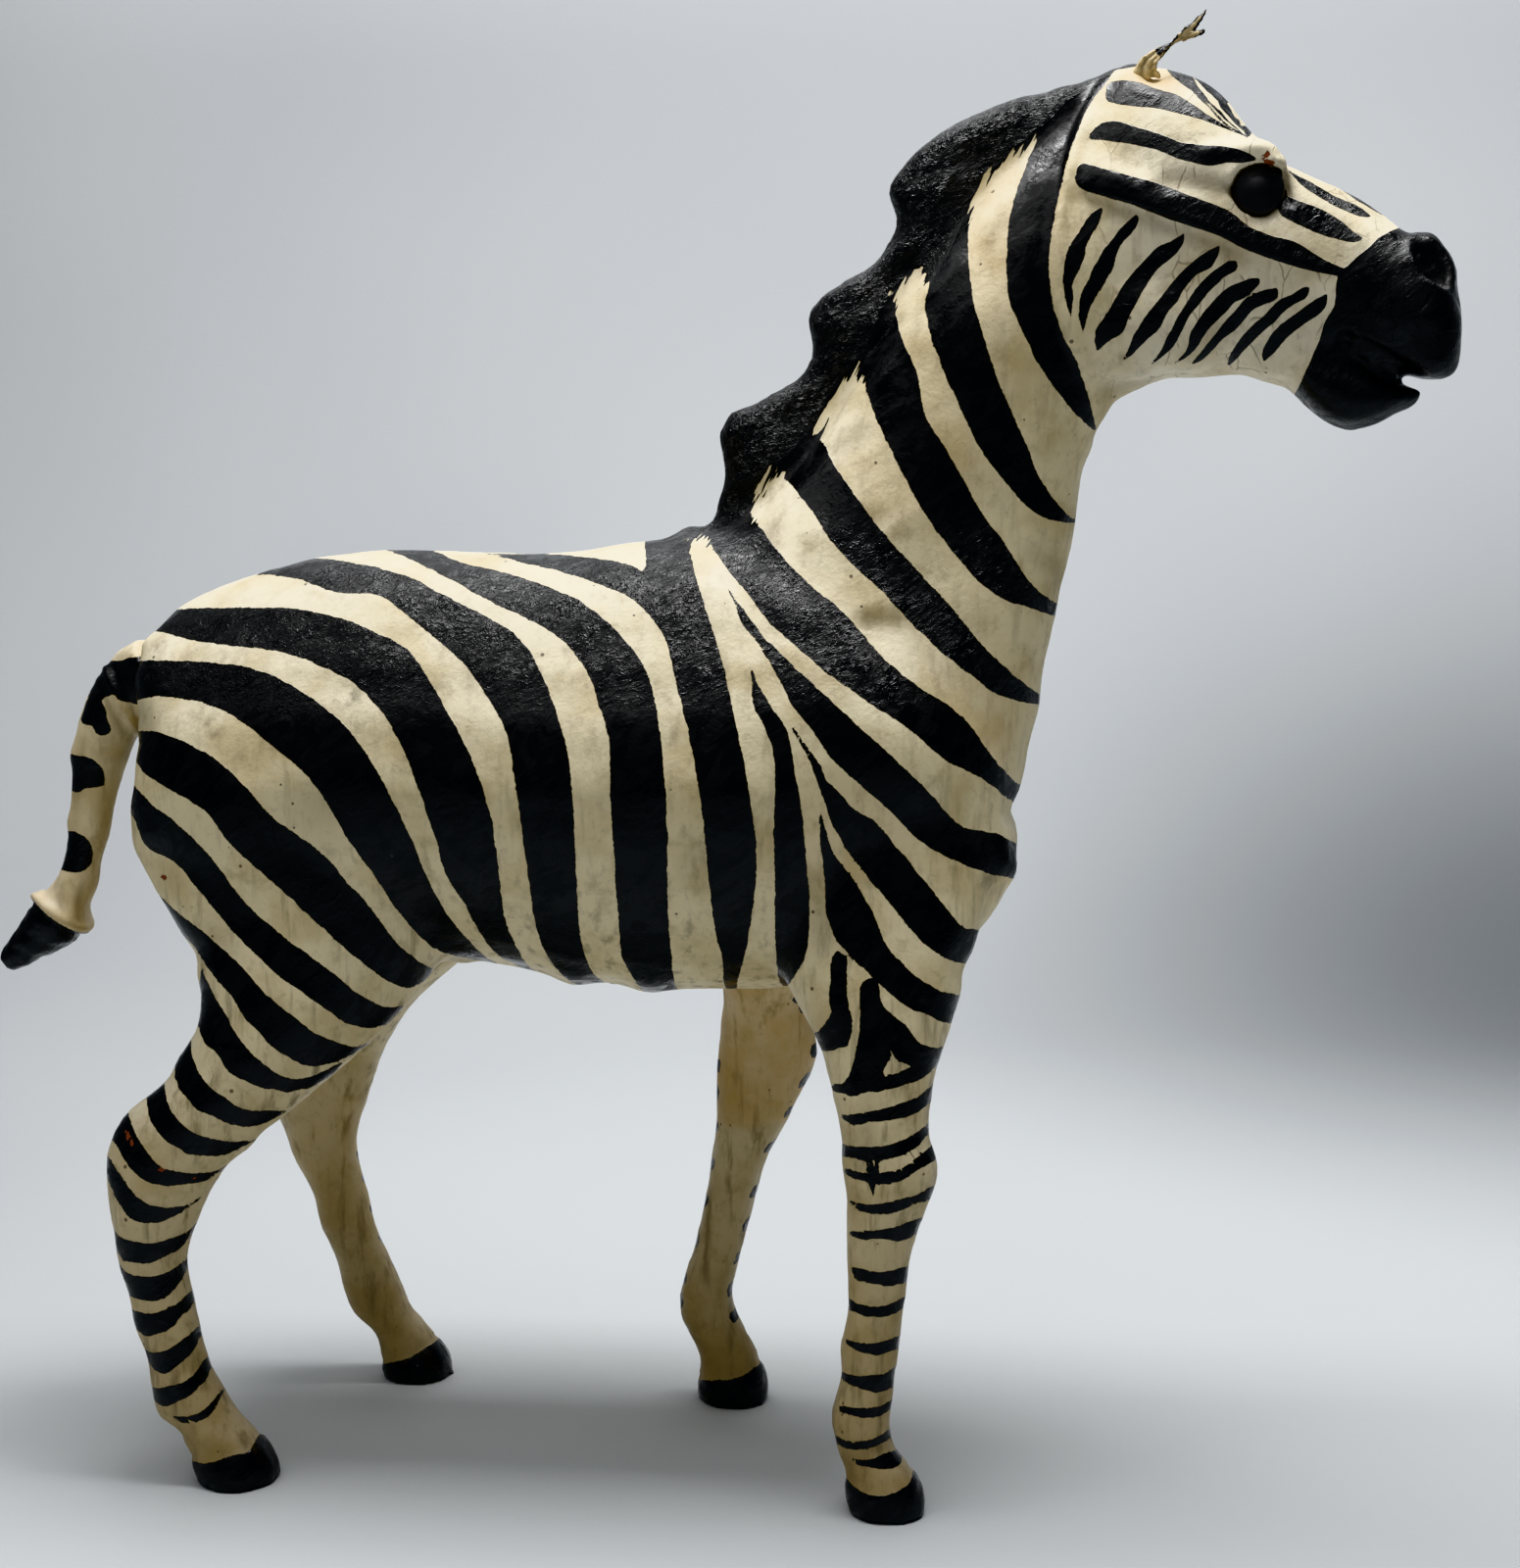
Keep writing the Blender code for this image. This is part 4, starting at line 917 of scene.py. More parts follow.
def relief(points, normals):
    """How far each vertex moves out of the skin, in millimetres."""
    pixels, scale = photo_pixels(shown_twin(points))
    height = np.zeros(len(points))
    for line, rise, width in RELIEF:
        line = rounded(line)
        close = near_to(pixels, line)
        distance, along = line_distance(pixels[close], line)
        ends = np.clip(np.minimum(along, 1 - along) * FADES_PER_LINE, 0.0, 1.0) ** 0.5
        height[close] += rise * ends * bell(distance / scale[close], width)
    for place, rise, radius in DIMPLES:
        height += rise * bell(pixels_from(pixels, place) / scale, radius)
    height -= NOSTRIL_DEPTH * ramp(within_round(pixels, NOSTRIL), 0.0, NOSTRIL_SLOPE)
    return height * facing(points, normals)


# %% Puckers all over, which are small and have no place of their own
def ripples(points, size, seed):
    """Soft bumps of about this size in millimetres, between -1 and 1."""
    shift = Vector((seed * 7.3, seed * 3.1, seed * 5.7))
    return np.array([noise.noise(Vector(p) / size + shift) for p in points])


# %% Corrections with a grab brush: place and reach in pixels, then forward and up in millimetres
GRABS = [
    ((1472, 372), 24, (0.3, -2.3)),
    ((1446, 374), 14, (0.0, -1.2)),
    ((1446, 398), 12, (1.1, 0.6)),
    ((1420, 422), 20, (0.0, 0.5)),
    ((1484, 272), 16, (1.0, 0.2)),
    ((1314, 402), 24, (0.0, 1.6)),
    ((1150, 398), 26, (0.3, -1.6)),
    ((1128, 424), 26, (1.6, -0.6)),
    ((1140, 76), 30, (0.8, 1.9)),
    ((912, 194), 20, (-2.0, 0.2)),
    ((919, 232), 14, (0.7, 0.0)),
    ((827, 322), 16, (-1.1, 0.2)),
    ((735, 441), 16, (-1.3, 0.2)),
    ((140, 842), 28, (-1.1, 0.0)),
    ((142, 868), 30, (-2.6, 0.0)),
    ((152, 892), 30, (-3.4, 0.0)),
    ((170, 925), 22, (-0.8, 0.0)),
    ((136, 825), 20, (-1.0, 0.0)),
    ((152, 654), 14, (-1.8, -0.1)),
    ((146, 690), 24, (-1.4, 0.0)),
    ((197, 972), 18, (2.2, 0.0)),
    ((205, 1008), 22, (0.9, 0.0)),
    ((870, 280), 14, (-1.8, 0.4)),
    ((752, 421), 12, (-1.8, 0.6)),
    ((728, 508), 14, (-2.2, 0.3)),
    ((702, 542), 14, (-0.6, 1.8)),
    ((340, 564), 40, (0.0, 0.3)),
    ((500, 561), 40, (0.0, 0.2)),
    ((625, 555), 34, (0.0, 0.4)),
    ((1086, 92), 16, (0.0, 0.4)),
    ((1032, 108), 24, (0.0, 0.2)),
    ((1148, 70), 14, (0.0, 0.6)),
    ((1475, 254), 10, (0.8, 0.0)),
    ((1458, 247), 14, (0.6, 1.0)),
    ((982, 988), 16, (-1.2, 0.0)),
    ((1057, 722), 24, (0.7, 0.0)),
    ((1112, 460), 14, (0.9, 0.0)),
    ((580, 1000), 22, (0.0, -1.4)),
    ((660, 1007), 22, (0.0, -1.3)),
    ((470, 978), 14, (0.0, -1.2)),
    ((1188, 384), 22, (0.0, 1.1)),
    ((1322, 392), 12, (0.0, 0.9)),
    ((190, 1070), 26, (-2.4, 0.0)),
    ((1037, 828), 14, (-2.0, 0.0)),
    ((1034, 889), 18, (1.5, 0.0)),
]
NEAR_GRABS = [
    ((152, 1290), 46, (-2.2, 0.0)),
    ((155, 1245), 24, (-0.8, 0.0)),
    ((146, 1352), 22, (-1.3, 0.0)),
    ((250, 1170), 16, (1.2, 0.0)),
    ((170, 1440), 12, (-0.7, -0.5)),
    ((188, 1456), 9, (1.3, 0.0)),
    ((858, 1185), 20, (-0.7, 0.0)),
    ((864, 1335), 26, (0.6, 0.0)),
    ((858, 1404), 18, (0.8, 0.0)),
]
FAR_GRABS = [
    ((396, 1300), 42, (2.6, 0.0)),
    ((376, 1215), 30, (0.8, 0.0)),
    ((704, 1312), 34, (-1.6, 0.0)),
    ((832, 1085), 26, (1.2, 0.0)),
    ((303, 1190), 26, (-1.5, 0.0)),
    ((328, 1250), 22, (-1.2, 0.0)),
    ((796, 1150), 34, (0.9, 0.0)),
]


def pulled(points, pixels, grabs, chosen):
    """The points after each pull, which fades with the distance in the photograph."""
    share = head_share(points)[:, None]
    forward = np.array([math.cos(HEAD_TURN), -math.sin(HEAD_TURN), 0.0]) * share
    forward = forward + np.array([1.0, 0.0, 0.0]) * (1 - share)
    result = points.copy()
    for place, reach, (ahead, up) in grabs:
        pull = bell(pixels_from(pixels, place), reach) * chosen
        result += pull[:, None] * (forward * ahead + np.array([0.0, 0.0, up]))
    return result


OWN_LEG_TO, SAME_LEG_FROM = 96.0, 110.0


def grabbed(points):
    """Both sides move alike, but for the lower legs, each of which has corrections of its own."""
    points = pulled(points, photo_pixels(shown_twin(points))[0], GRABS, 1.0)
    leg = 1 - ramp(points[:, 2], OWN_LEG_TO, SAME_LEG_FROM)
    far = sides(points) > 0
    points = pulled(points, photo_pixels(points)[0], NEAR_GRABS, leg * ~far)
    return pulled(points, photo_pixels(points)[0], FAR_GRABS, leg * far)


put_places(body, grabbed(places_of(body)))


# %% How full the sides are: the light in the photograph shows a flatter slope above the ribs. The
# barrel is given by heights and amounts in millimetres, the swells by place, reach and amount
BARREL = [(126, 0.0), (142, 1.2), (154, 1.6), (166, 0.0), (177, -2.0), (187, -2.6), (196, -1.6), (208, 0.0)]
BARREL_BACK, BARREL_FRONT = (-138.0, -105.0), (10.0, 45.0)
BESIDE_SPINE = (3.0, 22.0)
SWELLS_FROM = 95.0
SWELLS = [
    ((930, 600), 60, -1.6),
    ((905, 760), 60, 1.6),
    ((965, 790), 50, 1.6),
    ((1010, 545), 80, -2.4),
    ((1010, 330), 60, 1.4),
    ((230, 850), 70, 1.2),
]


def filled(points):
    """Each side of the trunk moved out or in by millimetres."""
    x, y, z = points.T
    heights, amounts = np.array(BARREL, float).T
    out = np.interp(z, heights, amounts) * ramp(x, *BARREL_BACK) * (1 - ramp(x, *BARREL_FRONT))
    pixels, _ = photo_pixels(shown_twin(points))
    for place, reach, amount in SWELLS:
        out += amount * bell(pixels_from(pixels, place), reach) * (z > SWELLS_FROM)
    result = points.copy()
    beside = y - MIDLINE
    result[:, 1] += out * np.sign(beside) * ramp(abs(beside), *BESIDE_SPINE)
    return result


put_places(body, filled(places_of(body)))
even_out(body, 8)


# %% Finer squares where the paint has narrow gaps and sharp tips
SHORTEST_CUT, EDGE_REACH, TIP_REACH = 0.5, 1.2, 13
WRONG_SIDE_BY, WRONG_DEPTH_BY, WORTH_WITHIN = 0.1, 0.3, 0.5


def cut_where_needed(obj, rounds):
    """Halves the edges on which straight interpolation would paint the wrong colour."""
    for _ in range(rounds):
        points, normals = places_of(obj), normals_of(obj)
        depth = coat(points, normals)[0]
        one, other, _ = edge_ends(obj)
        length = np.linalg.norm(points[one] - points[other], axis=1)
        doubtful = np.minimum(abs(depth[one]), abs(depth[other])) < EDGE_REACH * length
        doubtful &= length > SHORTEST_CUT
        middle = (points[one] + points[other])[doubtful] / 2
        real = coat(middle, (normals[one] + normals[other])[doubtful] / 2)[0]
        guess = (depth[one] + depth[other])[doubtful] / 2
        wrong = (real * guess < 0) & (abs(real - guess) > WRONG_SIDE_BY)
        shallow = np.minimum(abs(real), abs(guess)) < WORTH_WITHIN
        wrong |= (abs(real - guess) > WRONG_DEPTH_BY) & shallow
        picked = np.zeros(len(one), bool)
        picked[np.flatnonzero(doubtful)[wrong]] = True
        subdivide(obj, "EDGE", picked)
        print(f"cut {picked.sum()} edges, now {triangles(obj)} triangles")


SHARP_TIPS = [
    (752, 614), (762, 632), (769, 696), (773, 716), (814, 750), (824, 770), (834, 790), (837, 838),
    (1222, 84), (1233, 97), (1244, 110), (1255, 121), (1266, 132), (888, 1186), (889, 1204), (891, 1218),
    (840, 856), (330, 1098), (345, 1086), (308, 1122), (612, 1016), (655, 1018), (500, 980),
]


def at_a_tip(middles):
    pixels, _ = photo_pixels(shown_twin(middles))
    return np.min([pixels_from(pixels, tip) for tip in SHARP_TIPS], axis=0) < TIP_REACH


subdivide_where(body, at_a_tip)
cut_where_needed(body, 2)

# %% The relief pressed into the skin. Round the hoof a groove lies 0.6 mm above the paint's edge
HOOF_STEP, STEP_ACROSS = 0.35, (-0.3, 0.5)
HOOF_GROOVE, GROOVE_ABOVE, GROOVE_WIDE = 0.3, 0.6, 0.7
PUCKERS = [(9.0, 0.22, 1), (4.2, 0.12, 2)]

skin_points, skin_normals = places_of(body), normals_of(body)
_, _, hoof = coat(skin_points, skin_normals)
moved = relief(skin_points, skin_normals)
pucker = sum(rise * ripples(skin_points, size, seed) for size, rise, seed in PUCKERS)
step = HOOF_STEP * ramp(hoof, *STEP_ACROSS) - HOOF_GROOVE * bell(hoof + GROOVE_ABOVE, GROOVE_WIDE)
sculpted = skin_points + skin_normals * (moved + pucker + step)[:, None]
sculpted[:, 2] = np.maximum(sculpted[:, 2], 0.0)
put_places(body, sculpted)
print(f"relief from {moved.min():.2f} to {moved.max():.2f} mm")

# %% [markdown]
# ## The eyes and their lids
# Each eye is a bead of black glass set in the leather. The CAD holds the bead and its socket. A
# finer bead takes the CAD's place, and the skin round it is drawn over the bead's edge as a lid,
# which is what makes an eye look set in and not stuck on.

# %% Glass beads
EYE_RADIUS = 5.3
EYE_LOOKS = {"right_glass_eye": (0.02, -1.0, 0.1), "left_glass_eye": (0.36, 0.93, 0.1)}
EYE_OPENING = [
    (1259, 190), (1262, 182), (1270, 176), (1281, 173), (1294, 171), (1302, 172), (1306, 178), (1307, 188),
    (1306, 196), (1303, 203), (1297, 207), (1287, 209), (1276, 206), (1267, 202), (1261, 196),
]
LID_THICKNESS, LID_ROLL, LID_EDGE, BEAD_FLATTENED, SOCKET_DEPTH = 0.25, 0.35, 0.5, 2.3, 4.0
HOLE_FROM, FRONT_FROM, LID_REACH, FINE_REACH = 0.4, 0.5, 2.5, 2.0
BULGE_FROM, BULGE_TO = 0.15, 0.95


def bead(node, look):
    """A glass bead in a socket's place, with its middle and the way it looks."""
    low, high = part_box(node)
    middle = (low + high) / 2
    bpy.ops.object.select_all(action="DESELECT")
    bpy.ops.mesh.primitive_uv_sphere_add(
        segments=48, ring_count=24, radius=EYE_RADIUS * MM, location=middle
    )
    eye = bpy.context.active_object
    eye.name = eye.data.name = node.replace("glass_eye", "eye_bead")
    bpy.ops.object.transform_apply(location=True, rotation=True, scale=True)
    points = places_of(eye)
    out = points - np.array(middle) / MM
    ahead = np.array(Vector(look).normalized())
    bulge = ramp((out @ ahead) / EYE_RADIUS, BULGE_FROM, BULGE_TO)
    put_places(eye, points - ahead * (BEAD_FLATTENED * bulge)[:, None])
    eye.data.shade_smooth()
    return eye, np.array(middle) / MM, ahead


def opening_depth(points):
    """Millimetres inside the opening between the lids, negative on the lids."""
    pixels, scale = photo_pixels(shown_twin(points))
    return within(pixels, rounded(EYE_OPENING)) / scale


def near_an_eye(middles):
    reach = [np.linalg.norm(middles - middle, axis=1) for _, middle, _ in beads.values()]
    return np.min(reach, axis=0) < EYE_RADIUS + FINE_REACH


beads = {node: bead(node, look) for node, look in EYE_LOOKS.items()}
subdivide_where(body, near_an_eye)
skin_points = places_of(body)
inner = opening_depth(skin_points)
roll = LID_THICKNESS + LID_ROLL * bell(inner + LID_EDGE, LID_EDGE)
for _, middle, ahead in beads.values():
    out = skin_points - middle
    reach = np.linalg.norm(out, axis=1)
    away = out / reach[:, None]
    front = (out @ ahead > FRONT_FROM) & (reach < EYE_RADIUS + LID_REACH)
    hole = front & (inner > HOLE_FROM)
    lid = front & ~hole & (reach < EYE_RADIUS + roll)
    skin_points[lid] = (middle + away * (EYE_RADIUS + roll)[:, None])[lid]
    skin_points[hole] = middle + away[hole] * (EYE_RADIUS - SOCKET_DEPTH)
put_places(body, skin_points)
body.data.shade_smooth()

# %% [markdown]
# ## Paint layers kept on the skin
# A material can only colour a surface by what it is told about it. Each vertex keeps the distance
# into the black, how ragged that edge is, how deep it lies in a crease, and a few soft areas such
# as the brown stain inside the far fore leg, so one material can paint all of the body.


# %% Attributes
def keep(obj, **layers):
    """Stores one number per vertex under each name, for the material to read."""
    for name, values in layers.items():
        layer = obj.data.attributes.new(name, "FLOAT", "POINT")
        layer.data.foreach_set("value", np.full(len(obj.data.vertices), values, np.float32))


SPOT_CORE, SMUDGE_AND_SHADE_CORE = 0.35, 0.2


def blob(points, centre, radius):
    """A soft spot, 1 at its centre and 0 past its radius, in millimetres."""
    away = np.linalg.norm(points - np.array(centre), axis=1)
    return 1 - ramp(away, radius * SPOT_CORE, radius)


# Brown stains: centre and radius in millimetres, and strength
STAINS = [
    ((98.0, -12.0, 303.0), 9.0, 0.9),
    ((-146.0, 0.0, 130.0), 16.0, 0.5),
    ((-118.0, -30.0, 24.0), 12.0, 0.3),
    ((36.0, -30.0, 150.0), 20.0, 0.3),
    ((66.0, -20.0, 170.0), 20.0, 0.35),
    ((45.0, -20.0, 220.0), 16.0, 0.35),
    ((62.0, -15.0, 272.0), 28.0, 0.45),
    ((55.0, -25.0, 235.0), 24.0, 0.3),
    ((-88.0, 28.0, 60.0), 26.0, 0.35),
    ((-100.0, 30.0, 95.0), 24.0, 0.25),
]
FAR_STAIN = [
    (720, 980), (728, 1143), (744, 1150), (762, 1152), (784, 1146), (800, 1147), (850, 1100), (850, 980),
]
# Grey smudges of dirt, and at (888, 640) a painted shade of a fold: place and radius in pixels, and
# strength
SMUDGES_AND_SHADE = [
    ((217, 742), 20, 0.8),
    ((355, 709), 22, 0.9),
    ((164, 660), 14, 0.7),
    ((420, 780), 16, 0.4),
    ((300, 720), 18, 0.4),
    ((1008, 901), 16, 0.8),
    ((956, 589), 18, 0.6),
    ((888, 640), 16, 0.6),
    ((335, 866), 16, 0.4),
    ((405, 1048), 8, 0.8),
    ((1150, 330), 24, 0.35),
    ((1215, 178), 18, 0.4),
    ((1240, 215), 14, 0.4),
    ((700, 950), 18, 0.3),
    ((950, 1165), 12, 0.4),
    ((915, 1440), 16, 0.4),
    ((250, 1470), 12, 0.4),
    ((420, 1350), 26, 0.45),
    ((770, 1360), 24, 0.35),
]
# Chips: line and width in pixels
CHIPS = [
    ([(1294, 154), (1292, 162)], 5.0),
    ([(1288, 163), (1293, 165), (1301, 167)], 4.5),
    ([(286, 770), (287, 771)], 3.5),
    ([(286, 777), (287, 778)], 3.0),
    ([(153, 889), (157, 892)], 4.0),
    ([(164, 893), (168, 898)], 5.0),
    ([(127, 1150), (133, 1163), (140, 1172)], 4.0),
    ([(146, 1182), (158, 1190), (170, 1196), (190, 1201), (206, 1204)], 2.2),
    ([(904, 1303), (915, 1305)], 2.0),
    ([(602, 848), (603, 852)], 2.5),
]

# %% The layers of the body
CREASE_FULL, CREASE_SPREAD, GROOVE_DARKENING = 0.45, 2, 0.6
LIT_TOP_LEVEL, HEAD_LIT_TOP, FAR_STAINED, CHIPS_WIDER = (0.0, 0.7), 0.8, 0.95, 1.4
SEAM_HEIGHT, FAR_STAIN_EDGE = 130.0, (-3.0, 5.0)
NOSTRIL_EDGE, OPENING_EDGE, MANE_EDGE = (-1.0, 3.0), (-0.6, 0.0), (-2.0, 8.0)
BACK_FROM, BACK_TO = (155.0, 180.0), (205.0, 225.0)
BACK_WRINKLED, FACE_WRINKLED, LEAST_WRINKLED = 0.6, 0.45, 0.2

skin_points, skin_normals = places_of(body), normals_of(body)
heights, face = skin_points[:, 2], head_share(skin_points)
twin_pixels, scale = photo_pixels(shown_twin(skin_points))
black, ragged, hoof = coat(skin_points, skin_normals)
crease = np.clip(-relief(skin_points, skin_normals) / CREASE_FULL, 0, 1)
crease = np.maximum(crease, GROOVE_DARKENING * bell(hoof + GROOVE_ABOVE, GROOVE_WIDE))
for _ in range(CREASE_SPREAD):
    crease = neighbours_mean(edge_ends(body), crease)

is_far = sides(skin_points) > 0
stain = np.max([amount * blob(skin_points, *place) for *place, amount in STAINS], axis=0)
below_seam = is_far & (skin_points[:, 0] > FORE_FROM) & (heights < SEAM_HEIGHT)
own_pixels, _ = photo_pixels(skin_points)
far_stain = ramp(within(own_pixels, FAR_STAIN), *FAR_STAIN_EDGE) * below_seam
smudge = np.zeros(len(skin_points))
for place, radius, amount in SMUDGES_AND_SHADE:
    soft = 1 - ramp(pixels_from(twin_pixels, place), SMUDGE_AND_SHADE_CORE * radius, radius)
    smudge = np.maximum(smudge, amount * soft)
nostril = ramp(within_round(twin_pixels, NOSTRIL), *NOSTRIL_EDGE)
socket = ramp(opening_depth(skin_points), *OPENING_EDGE)
chip = deepest(twin_pixels, stroke, [(line, width * CHIPS_WIDER) for line, width in CHIPS])
mane = ramp(within_round(twin_pixels, MANE), *MANE_EDGE)
back = ramp(heights, *BACK_FROM) * (1 - ramp(heights, *BACK_TO))
wrinkled = np.maximum(BACK_WRINKLED * back, mane) * (1 - face) + FACE_WRINKLED * face

keep(
    body,
    black_depth=black,
    ragged=ragged,
    crease=crease,
    face=face,
    # Painted shade: the cream is tinted warmer where it faces sideways or down. This layer is 1 where the
    # skin faces up, and on the face, which are spared
    bleached=np.maximum(ramp(skin_normals[:, 2], *LIT_TOP_LEVEL), HEAD_LIT_TOP * face),
    stain=np.maximum(stain, FAR_STAINED * far_stain),
    smudge=smudge,
    dull=np.maximum(nostril, socket),
    chip=np.where(is_far, -FAR_AWAY, chip) / scale,
    wrinkled=np.clip(wrinkled, LEAST_WRINKLED, 1),
)
print("attributes:", [layer.name for layer in body.data.attributes if not layer.is_internal])

# %% [markdown]
# ## Painted leather
# The surface is oil paint brushed over thin leather. The cream has yellowed unevenly and crackled
# on the face. It is darker in its creases, and a painted shade makes its sides warmer and everything
# low down darker. The black went on last and thicker, so it shines more and its brush marks catch
# the light. Both share one shader, whose colour and roughness the black's edge mixes.


# %% Colours, a helper that adds one node, and layers of paint
def colour(code):
    """An sRGB hex value as linear numbers."""
    parts = [int(code[i : i + 2], 16) / 255 for i in (1, 3, 5)]
    line = [c / 12.92 if c <= 0.04045 else ((c + 0.055) / 1.055) ** 2.4 for c in parts]
    return (*line, 1.0)


def add(tree, kind, inputs=(), out=0, **settings):
    """Adds one node with its settings, its values and its links, and gives one of its outputs."""
    node = tree.nodes.new("ShaderNode" + kind)
    for key, value in settings.items():
        setattr(node, key, value)
    for key, value in inputs.items() if isinstance(inputs, dict) else enumerate(inputs):
        if isinstance(value, bpy.types.NodeSocket):
            tree.links.new(value, node.inputs[key])
        else:
            node.inputs[key].default_value = value
    return node.outputs[out] if node.outputs else None


def layered(tree, paint, *layers):
    """The paint with layers laid over it, each with its share, its colour and how it mixes."""
    for share, over, *kind in layers:
        settings = {"data_type": "RGBA", "blend_type": kind[0] if kind else "MIX"}
        over = colour(over) if isinstance(over, str) else over
        paint = add(tree, "Mix", {0: share, 6: paint, 7: over}, 2, **settings)
    return paint


def new_material(name):
    material = bpy.data.materials.new(name)
    material.use_nodes = True
    material.node_tree.nodes.clear()
    return material


# %% Patterns of the paint: each one's feature size in millimetres, detail and roughness
SMOOTH = {"interpolation_type": "SMOOTHSTEP"}
PER_METRE = 1000.0
PATTERNS = {
    "waver": (3.4, 3.0, 0.55),
    "bristle": (0.8, 1.0, 0.55),
    "torn": (1.2, 3.0, 0.55),
    "rust": (1.0, 3.0, 0.55),
    "grain": (1.3, 4.0, 0.6),
    "clouds": (16.0, 4.0, 0.55),
    "blotches": (7.0, 5.0, 0.65),
    "mottle": (2.6, 5.0, 0.7),
    "tanned": (9.0, 4.0, 0.55),
    "smudge_and_shade_breakup": (4.0, 5.0, 0.7),
    "crackled": (9.0, 3.0, 0.55),
    "scuffs": (3.0, 6.0, 0.7),
    "matt": (6.0, 3.0, 0.55),
}
# Some swing about zero by so many millimetres. Others become a share: the two levels of the
# pattern between which it changes, and its value at each
SWINGS = {"waver": 0.9, "bristle": 0.35, "torn": 1.6}
SHARES = {
    "clouds": (0.42, 0.68, 0.0, 1.0),
    "blotches": (0.5, 0.78, 0.0, 0.75),
    "mottle": (0.52, 0.8, 0.0, 0.55),
    "tanned": (0.3, 0.7, 0.3, 0.65),
    "smudge_and_shade_breakup": (0.35, 0.65, 0.0, 1.0),
    "crackled": (0.48, 0.6, 0.0, 1.0),
    "scuffs": (0.55, 0.8, 0.0, 0.5),
    "matt": (0.3, 0.7, 0.42, 0.56),
}
LAYERS = "black_depth ragged face bleached stain smudge crease chip dull wrinkled".split()


def ingredients(tree, place):
    """The vertex layers and the patterns, by name."""
    told, made = {}, {}
    for name in LAYERS:
        settings = {"attribute_name": name, "attribute_type": "GEOMETRY"}
        told[name] = add(tree, "Attribute", out="Fac", **settings)
    for name, (size, detail, rough) in PATTERNS.items():
        inputs = {"Vector": place, "Scale": PER_METRE / size, "Detail": detail, "Roughness": rough}
        made[name] = add(tree, "TexNoise", inputs)
        if name in SWINGS:
            made[name] = add(tree, "Math", (made[name], 0.5), operation="SUBTRACT")
            made[name] = add(tree, "Math", (made[name], SWINGS[name]), operation="MULTIPLY")
        if name in SHARES:
            made[name] = add(tree, "MapRange", (made[name], *SHARES[name]), **SMOOTH)
    return told, made


# %% The edge of the black: a brush wavers by a third of a millimetre, and the torn tops of the
# white stripes under the mane are hairs about one millimetre wide
HAIR_SIZE, HAIR_LEAN, HAIR_SWING = (0.0011, 0.03, 0.009), math.radians(26.0), 9.0
EDGE_SOFT = 0.09


def share_of_black(tree, place, told, made, ragged_edges):
    wander = add(tree, "Math", (made["waver"], made["bristle"]), operation="ADD")
    unsteady = add(tree, "MapRange", (told["face"], 0.0, 1.0, 1.0, 0.45))
    wander = add(tree, "Math", (wander, unsteady), operation="MULTIPLY")
    edge = add(tree, "Math", (told["black_depth"], wander), operation="ADD")
    if ragged_edges:
        inputs = {"Vector": place, "Rotation": (0.0, HAIR_LEAN, 0.0), "Scale": HAIR_SIZE}
        hairs = add(tree, "Mapping", inputs, vector_type="TEXTURE")
        tooth = add(tree, "TexNoise", {"Vector": hairs, "Scale": 1.0, "Detail": 2.0, "Roughness": 0.6})
        tooth = add(tree, "Math", (tooth, 0.5), operation="SUBTRACT")
        tooth = add(tree, "Math", (tooth, HAIR_SWING), operation="MULTIPLY")
        tooth = add(tree, "Math", (tooth, told["ragged"]), operation="MULTIPLY")
        edge = add(tree, "Math", (edge, tooth), operation="ADD")
    return add(tree, "MapRange", (edge, -EDGE_SOFT, EDGE_SOFT, 0.0, 1.0), **SMOOTH)


# %% Crackle and specks
CRACK_SPACING, CRACK_WANDER, WANDER_SIZE = 7.0, 0.003, 6.0
CRACK_CORE, CRACK_EDGE = 0.012, 0.03


def crackle(tree, place, told, made):
    """Hairlines that the paint opened where the leather under it moved, mostly on the face."""
    upright = add(tree, "Mapping", {"Vector": place, "Scale": (1.3, 1.3, 0.55)})
    inputs = {"Vector": place, "Scale": PER_METRE / WANDER_SIZE, "Detail": 2.0}
    bent = add(tree, "TexNoise", inputs, "Color")
    bent = add(tree, "VectorMath", (bent, (CRACK_WANDER,) * 3), operation="MULTIPLY")
    wander = add(tree, "VectorMath", (upright, bent), operation="ADD")
    inputs = {"Vector": wander, "Scale": PER_METRE / CRACK_SPACING}
    cells = add(tree, "TexVoronoi", inputs, "Distance", feature="DISTANCE_TO_EDGE")
    crack = add(tree, "MapRange", (cells, CRACK_CORE, CRACK_EDGE, 1.0, 0.0), **SMOOTH)
    crack = add(tree, "Math", (crack, made["crackled"]), operation="MULTIPLY")
    on_face = add(tree, "MapRange", (told["face"], 0.0, 1.0, 0.12, 0.85), **SMOOTH)
    return add(tree, "Math", (crack, on_face), operation="MULTIPLY")


def specks(tree, place, spacing, rare, size, strength):
    """Small round specks, in only the few cells of a pattern whose own number is above rare."""
    cells = add(tree, "TexVoronoi", {"Vector": place, "Scale": PER_METRE / spacing}, "Distance")
    number = add(tree, "SeparateColor", (cells.node.outputs["Color"],))
    radius = add(tree, "MapRange", (number, rare, 1.0, 0.0, size))
    speck = add(tree, "Math", (cells, radius), operation="LESS_THAN")
    return add(tree, "Math", (speck, strength), operation="MULTIPLY")
